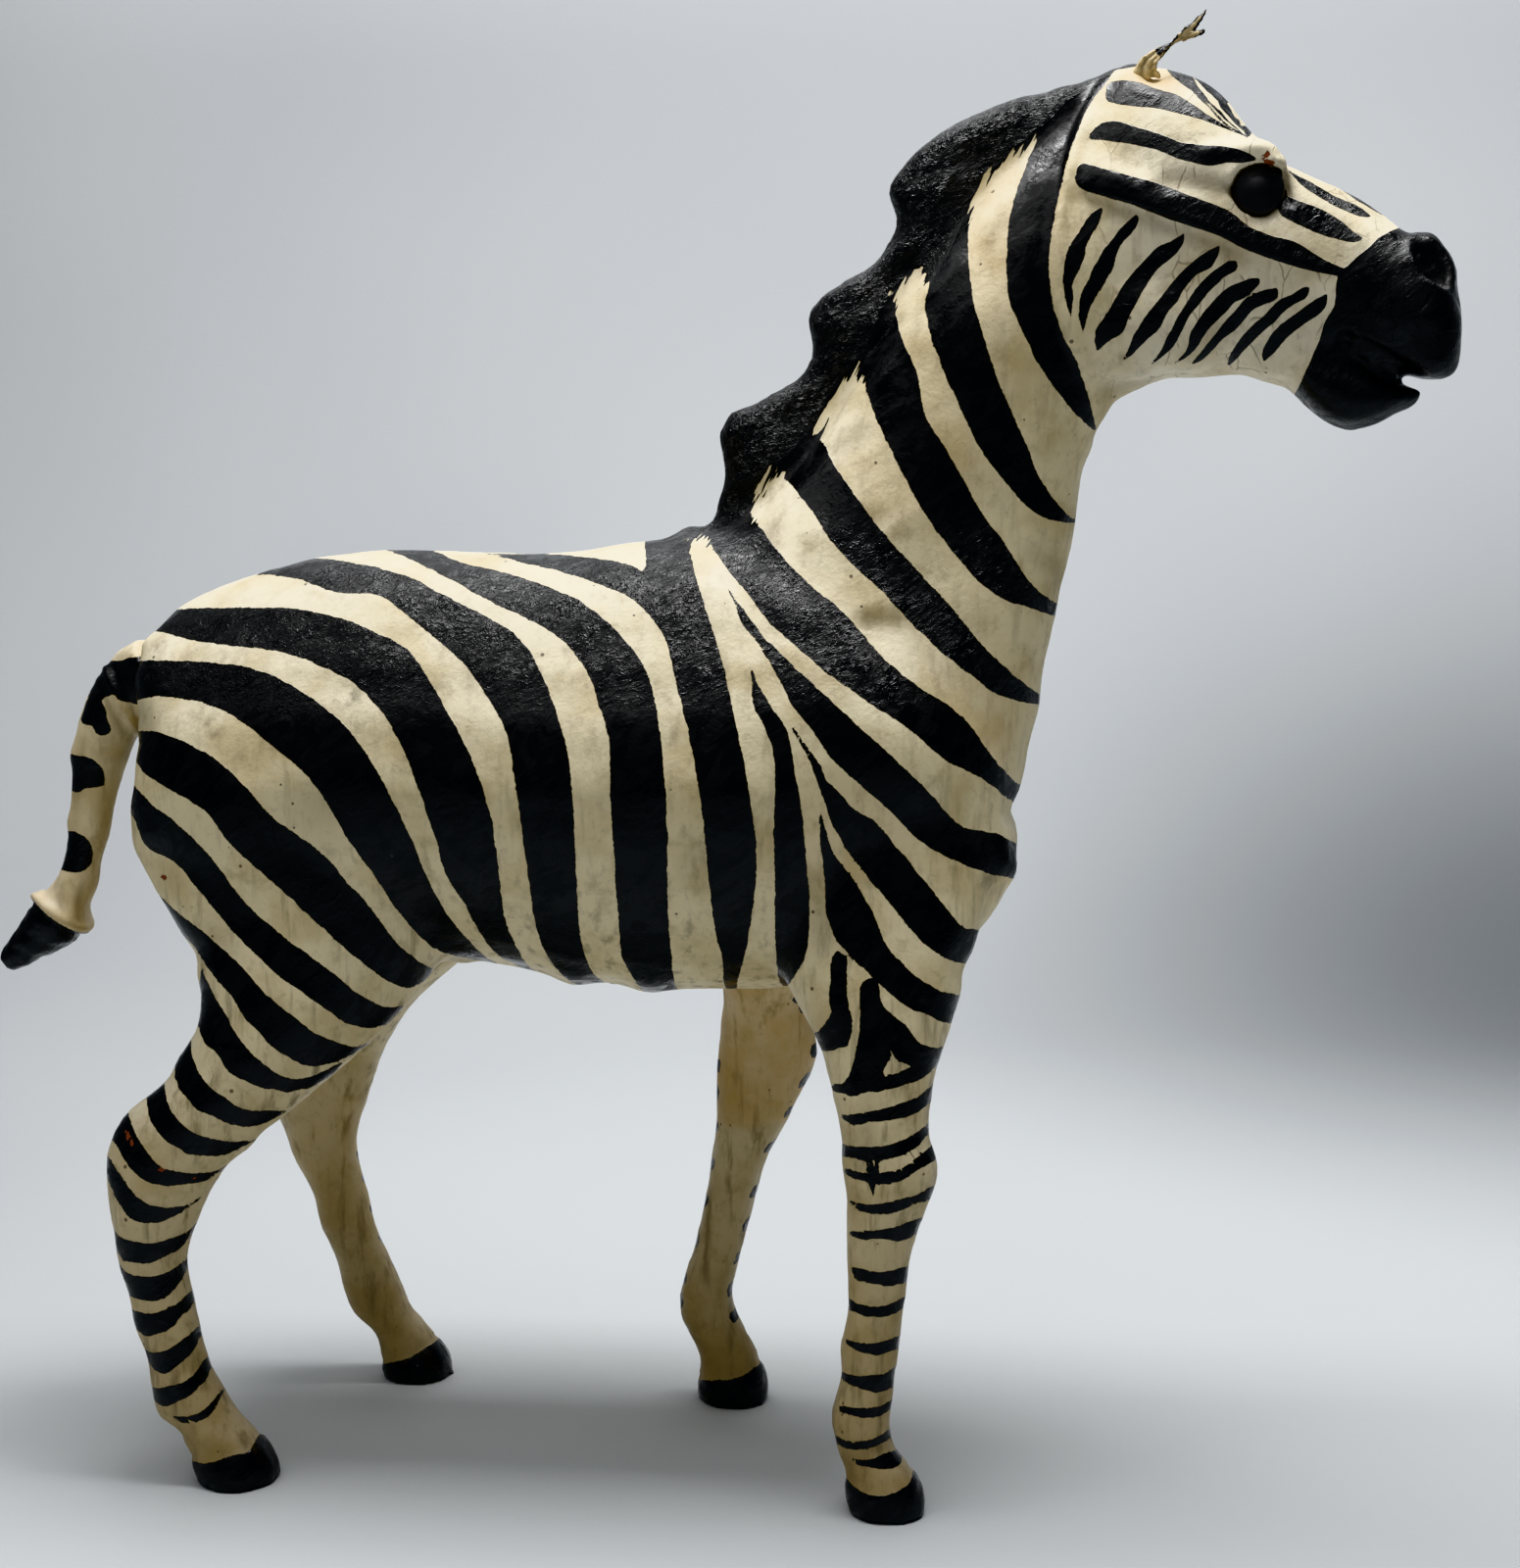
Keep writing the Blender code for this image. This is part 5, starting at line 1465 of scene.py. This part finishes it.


# %% Cream paint: yellowed in clouds, a painted shade that is warmer on the sides and darker low down, darker in creases
def cream_paint(tree, place, told, made, crack):
    # Painted shade: a warmer tint of the cream on the sides, left off where the skin faces up
    painted_side_shade = layered(tree, colour("#FFF9E6"), (told["bleached"], "#FFFFFF"))
    height_up = add(tree, "SeparateXYZ", (place,), "Z")
    # Painted shade under the body, with some grime: the cream darkens towards the floor
    shade_and_grime_low = add(tree, "MapRange", (height_up, 0.0, 0.115, 1.0, 0.0))
    dragged = add(tree, "Mapping", {"Vector": place, "Scale": (1.0, 1.0, 0.16)})
    inputs = {"Vector": dragged, "Scale": PER_METRE / 3.0, "Detail": 4.0, "Roughness": 0.6}
    streak = add(tree, "MapRange", (add(tree, "TexNoise", inputs), 0.5, 0.72, 0.0, 1.0), **SMOOTH)
    on_legs = add(tree, "MapRange", (height_up, 0.08, 0.16, 0.7, 0.25), **SMOOTH)
    streak, stain, smear_and_shade, crease_darkening, line = (
        add(tree, "Math", pair, operation="MULTIPLY")
        for pair in (
            (streak, on_legs),
            (told["stain"], made["tanned"]),
            (told["smudge"], made["smudge_and_shade_breakup"]),
            (told["crease"], 0.55),
            (crack, 0.6),
        )
    )
    return layered(
        tree,
        colour("#E9E0C8"),
        (made["clouds"], "#D3C6A6"),
        (made["blotches"], "#B8AC90"),
        (made["mottle"], "#A39A86"),
        (1.0, painted_side_shade, "MULTIPLY"),
        (shade_and_grime_low, "#ADA18A", "MULTIPLY"),
        (streak, "#6E6248"),
        (stain, "#C39E60"),
        # Grey smudges, with one painted shade of a fold
        (smear_and_shade, "#857C66"),
        (crease_darkening, "#6F6148"),
        (specks(tree, place, spacing=2.4, rare=0.9, size=0.2, strength=0.75), "#3B2E22"),
        (line, "#6B5A40"),
    )


# %% Relief too fine for the mesh: brush wrinkles in the black, leather grain in the cream
BRUSH_LEAN, BRUSH_STRETCH = math.radians(-40.0), (2.0, 1.0, 1.0)
BRUSH_SIZE, CRINKLE_SIZE, BUMP_HEIGHT = 5.0, 1.5, 0.0009


def brush_marks(tree, place):
    """Long wrinkles left by the brush, and finer ones that lie along them."""
    inputs = {"Vector": place, "Rotation": (0.0, BRUSH_LEAN, 0.0), "Scale": BRUSH_STRETCH}
    brushed = add(tree, "Mapping", inputs, vector_type="TEXTURE")
    marks = []
    for size, detail, rough, twist in ((BRUSH_SIZE, 5.0, 0.62, 1.2), (CRINKLE_SIZE, 3.0, 0.55, 2.0)):
        inputs = {"Vector": brushed, "Scale": PER_METRE / size, "Detail": detail}
        marks.append(add(tree, "TexNoise", inputs | {"Roughness": rough, "Distortion": twist}))
    return marks


def fine_relief(tree, told, made, marks, black_share, sunk):
    """The bump of the wrinkles, the grain, the edge of the black paint, and cracks and chips."""
    brush, crinkle = marks
    on_black = add(tree, "MapRange", (black_share, 0.0, 1.0, 0.35, 1.0), **SMOOTH)
    wrinkled = add(tree, "Math", (told["wrinkled"], on_black), operation="MULTIPLY")
    deep = add(tree, "MapRange", (wrinkled, 0.0, 1.0, 0.12, 0.75), **SMOOTH)
    height = add(tree, "Math", (brush, deep), operation="MULTIPLY")
    crinkle = add(tree, "Math", (crinkle, 0.5), operation="SUBTRACT")
    crinkle = add(tree, "Math", (crinkle,), operation="ABSOLUTE")
    fine = add(tree, "MapRange", (wrinkled, 0.2, 1.0, 0.0, 1.1), **SMOOTH)
    for part, amount, sign in (
        (crinkle, fine, "ADD"),
        (made["grain"], 0.12, "ADD"),
        (black_share, 0.05, "ADD"),
        (sunk, 0.1, "SUBTRACT"),
    ):
        part = add(tree, "Math", (part, amount), operation="MULTIPLY")
        height = add(tree, "Math", (height, part), operation=sign)
    return add(tree, "Bump", {"Height": height, "Strength": 1.0, "Distance": BUMP_HEIGHT})


# %% The painted leather itself. Chips show the tanned leather below both paints
CHIP_SOFT = (-0.05, 0.1)


def painted_leather(name, ragged_edges=True):
    material = new_material(name)
    tree = material.node_tree
    place = add(tree, "TexCoord", out="Object")
    told, made = ingredients(tree, place)
    black_share = share_of_black(tree, place, told, made, ragged_edges)
    crack = crackle(tree, place, told, made)
    cream = cream_paint(tree, place, told, made, crack)
    dust = specks(tree, place, spacing=3.2, rare=0.93, size=0.09, strength=0.5)
    black = layered(tree, colour("#050506"), (made["scuffs"], "#141416"), (dust, "#77757A"))
    chip = add(tree, "Math", (told["chip"], made["torn"]), operation="ADD")
    chip = add(tree, "MapRange", (chip, *CHIP_SOFT, 0.0, 1.0), **SMOOTH)
    bare = layered(tree, colour("#5A2314"), (made["rust"], "#8A4A2C"))
    paint = layered(tree, cream, (black_share, black), (chip, bare))

    sunk = add(tree, "Math", (crack, chip), operation="MAXIMUM")
    marks = brush_marks(tree, place)
    bump = fine_relief(tree, told, made, marks, black_share, sunk)
    shine = add(tree, "MapRange", (marks[0], 0.38, 0.6, 0.5, 0.14), **SMOOTH)
    rough = add(tree, "Mix", {0: black_share, 2: made["matt"], 3: shine}, data_type="FLOAT")
    dull = add(tree, "Math", (chip, told["dull"]), operation="MAXIMUM")
    dull = add(tree, "Math", (dull, 0.3), operation="MULTIPLY")
    rough = add(tree, "Math", (rough, dull), operation="ADD")
    inputs = {"Base Color": paint, "Roughness": rough, "Normal": bump, "IOR": 1.47}
    add(tree, "OutputMaterial", {"Surface": add(tree, "BsdfPrincipled", inputs)})
    return material


body.data.materials.append(painted_leather("painted leather"))
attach(body, "root")
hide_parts("leather_body")

# %% [markdown]
# ## Black glass for the eyes
# A bead of glass so dark that only its shine shows. Glass has an index of about 1.5 and a polished
# face, dulled here by a film of dust, so the light shows as a soft patch and not as a mirror.

# %% Glass
FILM_SIZE = 1.6

glass = new_material("black glass")
tree = glass.node_tree
place = add(tree, "TexCoord", out="Object")
inputs = {"Vector": place, "Scale": PER_METRE / FILM_SIZE, "Detail": 4.0, "Roughness": 0.55}
film = add(tree, "TexNoise", inputs)
greyed = add(tree, "MapRange", (film, 0.4, 0.8, 0.0, 0.5), **SMOOTH)
inputs = {
    "Base Color": layered(tree, colour("#0E0E10"), (greyed, "#1C1A1E")),
    "Roughness": add(tree, "MapRange", (film, 0.3, 0.8, 0.45, 0.6), **SMOOTH),
    "IOR": 1.5,
}
add(tree, "OutputMaterial", {"Surface": add(tree, "BsdfPrincipled", inputs)})
for node, (eye, _, _) in beads.items():
    eye.data.materials.append(glass)
    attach(eye, "root")
    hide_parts(node)

# %% [markdown]
# ## The tail
# A stuffed leather tube ends in a flared cream cuff with a black tuft standing in it. It is cut
# from its CAD solid as the body was, and the cuff is drawn in by one groove and one ridge.

# %% Tail
TAIL_PATCHES = [
    [(99, 688), (91, 708), (82, 733), (88, 740), (94, 741), (98, 748), (105, 751), (112, 748), (113, 742),
     (109, 733), (107, 722), (103, 714), (112, 710), (118, 709), (126, 716), (160, 716), (160, 674),
     (128, 672), (113, 674), (104, 660), (92, 670)],
    [(60, 768), (73, 769), (80, 771), (92, 773), (102, 781), (106, 789), (107, 800), (101, 803), (87, 805),
     (77, 809), (60, 800)],
    [(50, 846), (71, 848), (80, 851), (91, 858), (95, 870), (94, 880), (87, 887), (76, 890), (65, 888),
     (50, 880)],
]
TUFT = [
    (20, 905), (33, 916), (40, 926), (56, 940), (71, 948), (86, 950), (94, 949), (120, 945), (120, 1010),
    (-60, 1060), (-60, 900),
]
TAIL_GRABS = [
    ((126, 668), 18, (-1.0, 1.2)),
    ((146, 654), 12, (0.0, 0.6)),
    ((71, 770), 14, (-1.0, 0.0)),
    ((66, 838), 12, (-0.7, 0.0)),
    ((36, 908), 12, (-1.2, 0.0)),
    ((97, 932), 15, (-1.4, 0.0)),
    ((108, 880), 24, (-0.9, 0.0)),
    ((8, 978), 20, (-1.1, -0.9)),
]
TAIL_RELIEF = [
    ([(34, 915), (46, 927), (62, 938), (76, 946), (88, 948)], 0.9, 1.2),
    ([(33, 921), (44, 933), (60, 945), (74, 954), (86, 958)], -0.9, 0.9),
    ([(108, 682), (114, 698), (121, 714), (130, 732), (139, 746)], 0.7, 0.9),
    ([(116, 684), (122, 700), (130, 716), (138, 732)], -0.4, 0.8),
    ([(100, 700), (108, 716), (116, 732), (124, 746)], -0.4, 0.9),
    ([(62, 905), (60, 920), (64, 934)], -0.3, 0.8),
    ([(84, 905), (80, 925), (80, 940)], -0.25, 0.8),
    ([(82, 760), (78, 800), (74, 850)], -0.2, 1.6),
    ([(20, 950), (50, 966), (72, 968)], -0.3, 0.9),
    ([(10, 966), (36, 978), (56, 978)], -0.3, 0.9),
]

# %% The tail's skin. Its root widens into the rump, between two columns of the photograph
TAIL_CELL = 0.75
ROOT_FROM, ROOT_TO, ROOT_FLARE, ROOT_HALF = 114.0, 148.0, 3.0, 6.0
TAIL_CREASE_FULL, TAIL_PUCKER, TUFT_PUCKER = 0.5, 0.25, 0.25
TUFT_GRAIN, TUFT_EDGE = np.array([1.0, 1.6, 1.6]), (-4.0, 6.0)
TAIL_STAIN, TIP_STAIN, STAINED_DOWN = 0.35, 0.3, (150.0, 120.0)


def near_side(points):
    """The tail's own mirror images, all on the side that the photograph shows."""
    result = points.copy()
    result[:, 1] = MIDLINE - abs(points[:, 1] - MIDLINE)
    return result


tail = skin_from("leather_tail", "painted_tail", TAIL_CELL)
even_out(tail, 12)
points = places_of(tail)
points = pulled(points, photo_pixels(near_side(points))[0], TAIL_GRABS, 1.0)
root = ramp(photo_pixels(near_side(points))[0][:, 0], ROOT_FROM, ROOT_TO)
points[:, 1] += ROOT_FLARE * root * np.clip((points[:, 1] - MIDLINE) / ROOT_HALF, -1, 1)
put_places(tail, points)

points, normals = places_of(tail), normals_of(tail)
pixels, scale = photo_pixels(near_side(points))
tuft = ramp(within(pixels, TUFT), *TUFT_EDGE)
height = np.zeros(len(points))
for line, rise, width in TAIL_RELIEF:
    height += rise * bell(line_distance(pixels, rounded(line))[0] / scale, width)
tail_crease = np.clip(-height / TAIL_CREASE_FULL, 0, 1)
tuft_pucker = TUFT_PUCKER * tuft * ripples(points * TUFT_GRAIN, 2.6, 6)
height += TAIL_PUCKER * ripples(points, 5.0, 5) + tuft_pucker
put_places(tail, points + normals * height[:, None])
tail.data.shade_smooth()
keep(
    tail,
    black_depth=deepest(pixels, within_round, TAIL_PATCHES + [TUFT]) / scale,
    crease=tail_crease,
    stain=TAIL_STAIN + TIP_STAIN * ramp(points[:, 2], *STAINED_DOWN),
    face=0.0,
    # Painted shade: the tail's sides get the same warmer tint
    bleached=ramp(normals[:, 2], *LIT_TOP_LEVEL),
    smudge=0.0,
    dull=0.0,
    chip=-FAR_AWAY,
    wrinkled=0.4,
)
tail.data.materials.append(painted_leather("painted leather of the tail", ragged_edges=False))
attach(tail, "root")
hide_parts("leather_tail")
print("tail:", triangles(tail), "triangles")

# %% [markdown]
# ## The ears
# Only shrivelled strips are left of the ears: leather that dried, twisted and split at its end. A
# curve with a bevel would stay round, so the strip is built from flat rings that turn as they
# follow its middle line. A remesh joins the torn prong to it, as one skin.

# %% Middle lines of the ears, from the root to the tip and then the torn prong. The right ear's
# rows hold a pixel across and down and a depth y, the left ear's hold x, y and z in millimetres.
# Half the width in millimetres and the turn in degrees follow
RIGHT_EAR = [
    [
        (1170, 80, -7.6, 3.1, 0),
        (1170, 73, -7.9, 3.0, 5),
        (1172, 66, -8.3, 2.3, 12),
        (1178, 59, -8.7, 1.6, 22),
        (1185, 53, -9.0, 1.35, 40),
        (1193, 47, -9.4, 1.3, 70),
        (1202, 41, -9.8, 1.3, 110),
        (1210, 35, -10.2, 1.25, 150),
        (1217, 27, -10.6, 0.95, 185),
        (1223, 20, -10.8, 0.85, 200),
        (1228, 14, -11.0, 0.6, 215),
        (1231, 9, -11.1, 0.2, 225),
    ],
    [
        (1206, 40, -10.0, 0.9, 150),
        (1214, 36, -10.4, 0.85, 165),
        (1221, 34, -10.8, 0.7, 180),
        (1226, 33, -11.0, 0.6, 190),
        (1229, 31, -11.2, 0.3, 200),
    ],
]
LEFT_EAR = [
    [
        (94.2, 5.6, 298.0, 3.0, 0),
        (94.4, 8.4, 300.6, 2.9, 8),
        (94.5, 11.6, 302.6, 2.1, 25),
        (94.4, 14.6, 303.9, 1.5, 60),
        (94.6, 17.6, 304.4, 1.25, 100),
        (95.2, 20.4, 304.4, 1.05, 135),
        (95.9, 22.8, 303.9, 0.7, 160),
        (96.5, 24.6, 303.2, 0.25, 175),
    ],
    [(95.0, 17.0, 304.2, 0.8, 120), (95.8, 19.4, 304.9, 0.7, 140), (96.9, 21.4, 305.3, 0.3, 160)],
]


def seen_at(across, down, depth):
    """The point that falls on this pixel and lies at this depth, y in millimetres."""
    ray = LOOK + RIGHT * ((across - PHOTO_WIDE / 2) / FOCAL_PIXELS)
    ray += UP * ((PHOTO_HIGH / 2 - down) / FOCAL_PIXELS)
    return (CAMERA_PLACE + ray * ((depth * MM - CAMERA_PLACE.y) / ray.y)) / MM


EAR_STRIPS = {
    "right_leather_ear": [[(seen_at(*row[:3]), *row[3:]) for row in strip] for strip in RIGHT_EAR],
    "left_leather_ear": [[(Vector(row[:3]), *row[3:]) for row in strip] for strip in LEFT_EAR],
}

# %% A flat strip along each middle line
RING_CORNERS = 12
STRIP_THICK, THICK_SHARE, EDGE_CURL = 0.28, 0.24, 0.3


def ring_frames(stations):
    """At each station: its middle, and the directions of the strip's width and thickness."""
    middles = np.array([tuple(place) for place, _, _ in stations])
    ahead = np.gradient(middles, axis=0)
    ahead /= np.linalg.norm(ahead, axis=1)[:, None]
    frames = []
    for middle, direction, (_, half, turn) in zip(middles, ahead, stations):
        out = np.cross(direction, np.array(LOOK))
        out /= np.linalg.norm(out)
        facing_out = np.cross(out, direction)
        angle = math.radians(turn)
        wide = out * math.cos(angle) + facing_out * math.sin(angle)
        thick = np.cross(direction, wide)
        frames.append((middle, wide, thick, half))
    return frames


def strip_mesh(frames, name):
    """A closed flat strip whose edges curl a little."""
    bm = bmesh.new()
    rings = []
    for middle, wide, thick, half in frames:
        ring = []
        for corner in range(RING_CORNERS):
            angle = 2 * math.pi * corner / RING_CORNERS
            across = math.cos(angle)
            height = math.sin(angle) * max(STRIP_THICK, THICK_SHARE * half)
            height += EDGE_CURL * half * across**2
            place = middle + wide * across * half + thick * height
            ring.append(bm.verts.new(place * MM))
        rings.append(ring)
    for lower, upper in zip(rings, rings[1:]):
        for k in range(RING_CORNERS):
            n = (k + 1) % RING_CORNERS
            bm.faces.new((lower[k], lower[n], upper[n], upper[k]))
    bm.faces.new(rings[0][::-1])
    bm.faces.new(rings[-1])
    bmesh.ops.recalc_face_normals(bm, faces=bm.faces)
    mesh = bpy.data.meshes.new(name)
    bm.to_mesh(mesh)
    bm.free()
    strip = bpy.data.objects.new(name, mesh)
    bpy.context.scene.collection.objects.link(strip)
    return strip


# %% The strips, joined and painted
EAR_CELL = 0.26
EAR_FOLD, FOLDS, FOLDS_END = 0.14, 9.0, (0.3, 0.6)
EAR_PUCKERS = [(1.7, 0.22, 8), (0.8, 0.1, 9)]
DARK_HALF, DARK_SIDE, DARKER_BY, DARKER_ALONG = 0.8, 0.3, 0.4, (0.35, 0.85)
ROOT_BARE, ROOT_BARE_TO = 3.0, (0.2, 0.36)


def leather_ear(node):
    strips, rings = [], []
    for k, stations in enumerate(EAR_STRIPS[node]):
        frames = ring_frames(stations)
        rings += [(*ring, i / (len(frames) - 1)) for i, ring in enumerate(frames)]
        strips.append(strip_mesh(frames, f"{node}_strip_{k}"))
    ear = only(strips[0])
    for strip in strips[1:]:
        strip.select_set(True)
    bpy.ops.object.join()
    ear.name = ear.data.name = node.replace("leather_ear", "twisted_ear")
    apply_modifier(ear, "REMESH", mode="VOXEL", voxel_size=EAR_CELL * MM)
    even_out(ear, 5)

    points, normals = places_of(ear), normals_of(ear)
    middles, wide, thick, half, along = (np.array(column) for column in zip(*rings))
    nearest = ((points[:, None] - middles) ** 2).sum(axis=2).argmin(axis=1)
    half, along = half[nearest], along[nearest]
    across = ((points - middles[nearest]) * wide[nearest]).sum(axis=1) / half
    outer = (normals * thick[nearest]).sum(axis=1)
    folds = np.cos(FOLDS * across) * (1 - ramp(along, *FOLDS_END))
    puckers = [ripples(points, size, seed) for size, _, seed in EAR_PUCKERS]
    height = EAR_FOLD * folds
    for pucker, (_, rise, _) in zip(puckers, EAR_PUCKERS):
        height = height + rise * pucker
    put_places(ear, points + normals * height[:, None])
    ear.data.shade_smooth()
    dark = (DARK_HALF - abs(across)) * half * np.sign(outer + DARK_SIDE)
    dark += DARKER_BY * ramp(along, *DARKER_ALONG)
    keep(
        ear,
        black_depth=dark - ROOT_BARE * (1 - ramp(along, *ROOT_BARE_TO)),
        crease=np.clip(-folds, 0, 1) + 0.5 * np.clip(-puckers[0] * 3, 0, 1),
        stain=np.clip(0.5 - 0.2 * along, 0, 1),
        face=0.0,
        smudge=0.0,
        dull=0.0,
        chip=-FAR_AWAY,
        wrinkled=0.5,
    )
    return ear


ear_leather = painted_leather("raw leather with worn paint", ragged_edges=False)
for node in EAR_STRIPS:
    ear = leather_ear(node)
    ear.data.materials.append(ear_leather)
    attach(ear, "root")
    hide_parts(node)
    print(ear.name, triangles(ear), "triangles")

# %% [markdown]
# ## Floor and backdrop
# The figure stood on paper that curves up behind it, so there is no horizon. One plane whose back
# edge is pulled up, with the fold bevelled into a wide arc, does the same.

# %% Sweep of pale paper
FLOOR_HALF, BACKDROP_AT, BACKDROP_HIGH, SWEEP = 1.6, 0.95, 2.2, 0.5
EDGE_SLACK = 0.01


def pick_edges(mesh, chosen):
    """Selects, in edit mode, the edges whose two ends are chosen."""
    bpy.ops.mesh.select_all(action="DESELECT")
    bm = bmesh.from_edit_mesh(mesh)
    for edge in bm.edges:
        edge.select_set(all(chosen(vertex.co) for vertex in edge.verts))
    bmesh.update_edit_mesh(mesh)


bpy.ops.object.select_all(action="DESELECT")
bpy.ops.mesh.primitive_plane_add(size=2.0)
sweep = bpy.context.active_object
sweep.name = sweep.data.name = "paper_sweep"
sweep.scale = (FLOOR_HALF, (BACKDROP_AT + FLOOR_HALF) / 2, 1.0)
sweep.location = (0.0, (BACKDROP_AT - FLOOR_HALF) / 2, 0.0)
bpy.ops.object.transform_apply(location=True, rotation=True, scale=True)
bpy.ops.object.mode_set(mode="EDIT")
bpy.ops.mesh.select_mode(type="EDGE")
pick_edges(sweep.data, lambda at: at.y > BACKDROP_AT - EDGE_SLACK)
bpy.ops.mesh.extrude_region_move(TRANSFORM_OT_translate={"value": (0.0, 0.0, BACKDROP_HIGH)})
pick_edges(sweep.data, lambda at: at.y > BACKDROP_AT - EDGE_SLACK and at.z < EDGE_SLACK)
bpy.ops.mesh.bevel(offset=SWEEP, segments=24, profile=0.5)
bpy.ops.object.mode_set(mode="OBJECT")
sweep.data.shade_smooth()

# %% Matt paper with a painted soft shadow on the backdrop, behind the neck
SHADED_AT, SHADED_CORE, SHADED_REACH = (0.38, 0.55, 0.03), 0.06, 0.46
CLOUD_SIZE, FIBRE_SIZE = 600.0, 1.5

paper = new_material("matt backdrop paper")
tree = paper.node_tree
place = add(tree, "TexCoord", out="Object")
cloud, fibre = (
    add(tree, "TexNoise", {"Vector": place, "Scale": PER_METRE / size, "Detail": 2.0, "Roughness": 0.55})
    for size in (CLOUD_SIZE, FIBRE_SIZE)
)
cloud = add(tree, "MapRange", (cloud, 0.35, 0.7, 0.0, 1.0), **SMOOTH)
# A painted shadow: the paper turns grey round SHADED_AT
away = add(tree, "VectorMath", (place, SHADED_AT), "Value", operation="DISTANCE")
painted_shadow = add(tree, "MapRange", (away, SHADED_CORE, SHADED_REACH, 1.0, 0.0), **SMOOTH)
inputs = {
    "Base Color": layered(tree, colour("#BEC1C3"), (cloud, "#B4B7BA"), (painted_shadow, "#686C6F")),
    "Roughness": 0.85,
    "Normal": add(tree, "Bump", {"Height": fibre, "Strength": 0.15, "Distance": 0.0004}),
}
add(tree, "OutputMaterial", {"Surface": add(tree, "BsdfPrincipled", inputs)})
sweep.data.materials.append(paper)

# %% [markdown]
# ## Light
# The photograph was lit from straight above by one soft panel, close enough that the back is
# bright and the flanks are dim. A wide and weaker ceiling panel lays a grey sheen on the black of
# the back, a weak one in front opens the flanks and the face, and one more lights the backdrop.


# %% Lights: place, target and size in metres, and power in watts
LIGHTS = {
    "overhead panel": ((0.05, 0.0, 0.8), (0.05, 0.0, 0.1), (0.45, 0.28), 6.7),
    "ceiling panel": ((-0.4, -0.3, 1.1), (-0.05, 0.0, 0.2), (1.4, 0.8), 4.4),
    "front panel": ((0.0, -0.9, 0.7), (0.0, 0.0, 0.15), (1.6, 1.0), 0.8),
    "backdrop panel": ((0.12, 0.45, 1.05), (0.3, 0.95, 0.78), (1.8, 0.3), 12.0),
}
WORLD_COLOUR, WORLD_STRENGTH = "#C8CCD0", 0.2

for name, (place, target, size, power) in LIGHTS.items():
    lamp = bpy.data.objects.new(name, bpy.data.lights.new(name, "AREA"))
    lamp.data.shape = "RECTANGLE"
    lamp.data.size, lamp.data.size_y = size
    lamp.data.energy = power
    lamp.location = place
    lamp.rotation_euler = (Vector(target) - Vector(place)).to_track_quat("-Z", "Y").to_euler()
    bpy.context.scene.collection.objects.link(lamp)
world = bpy.data.worlds.new("dim studio")
bpy.context.scene.world = world
world.use_nodes = True
background = world.node_tree.nodes["Background"]
background.inputs["Color"].default_value = colour(WORLD_COLOUR)
background.inputs["Strength"].default_value = WORLD_STRENGTH
bpy.context.scene.view_settings.view_transform = "Khronos PBR Neutral"
print("lights:", list(LIGHTS))
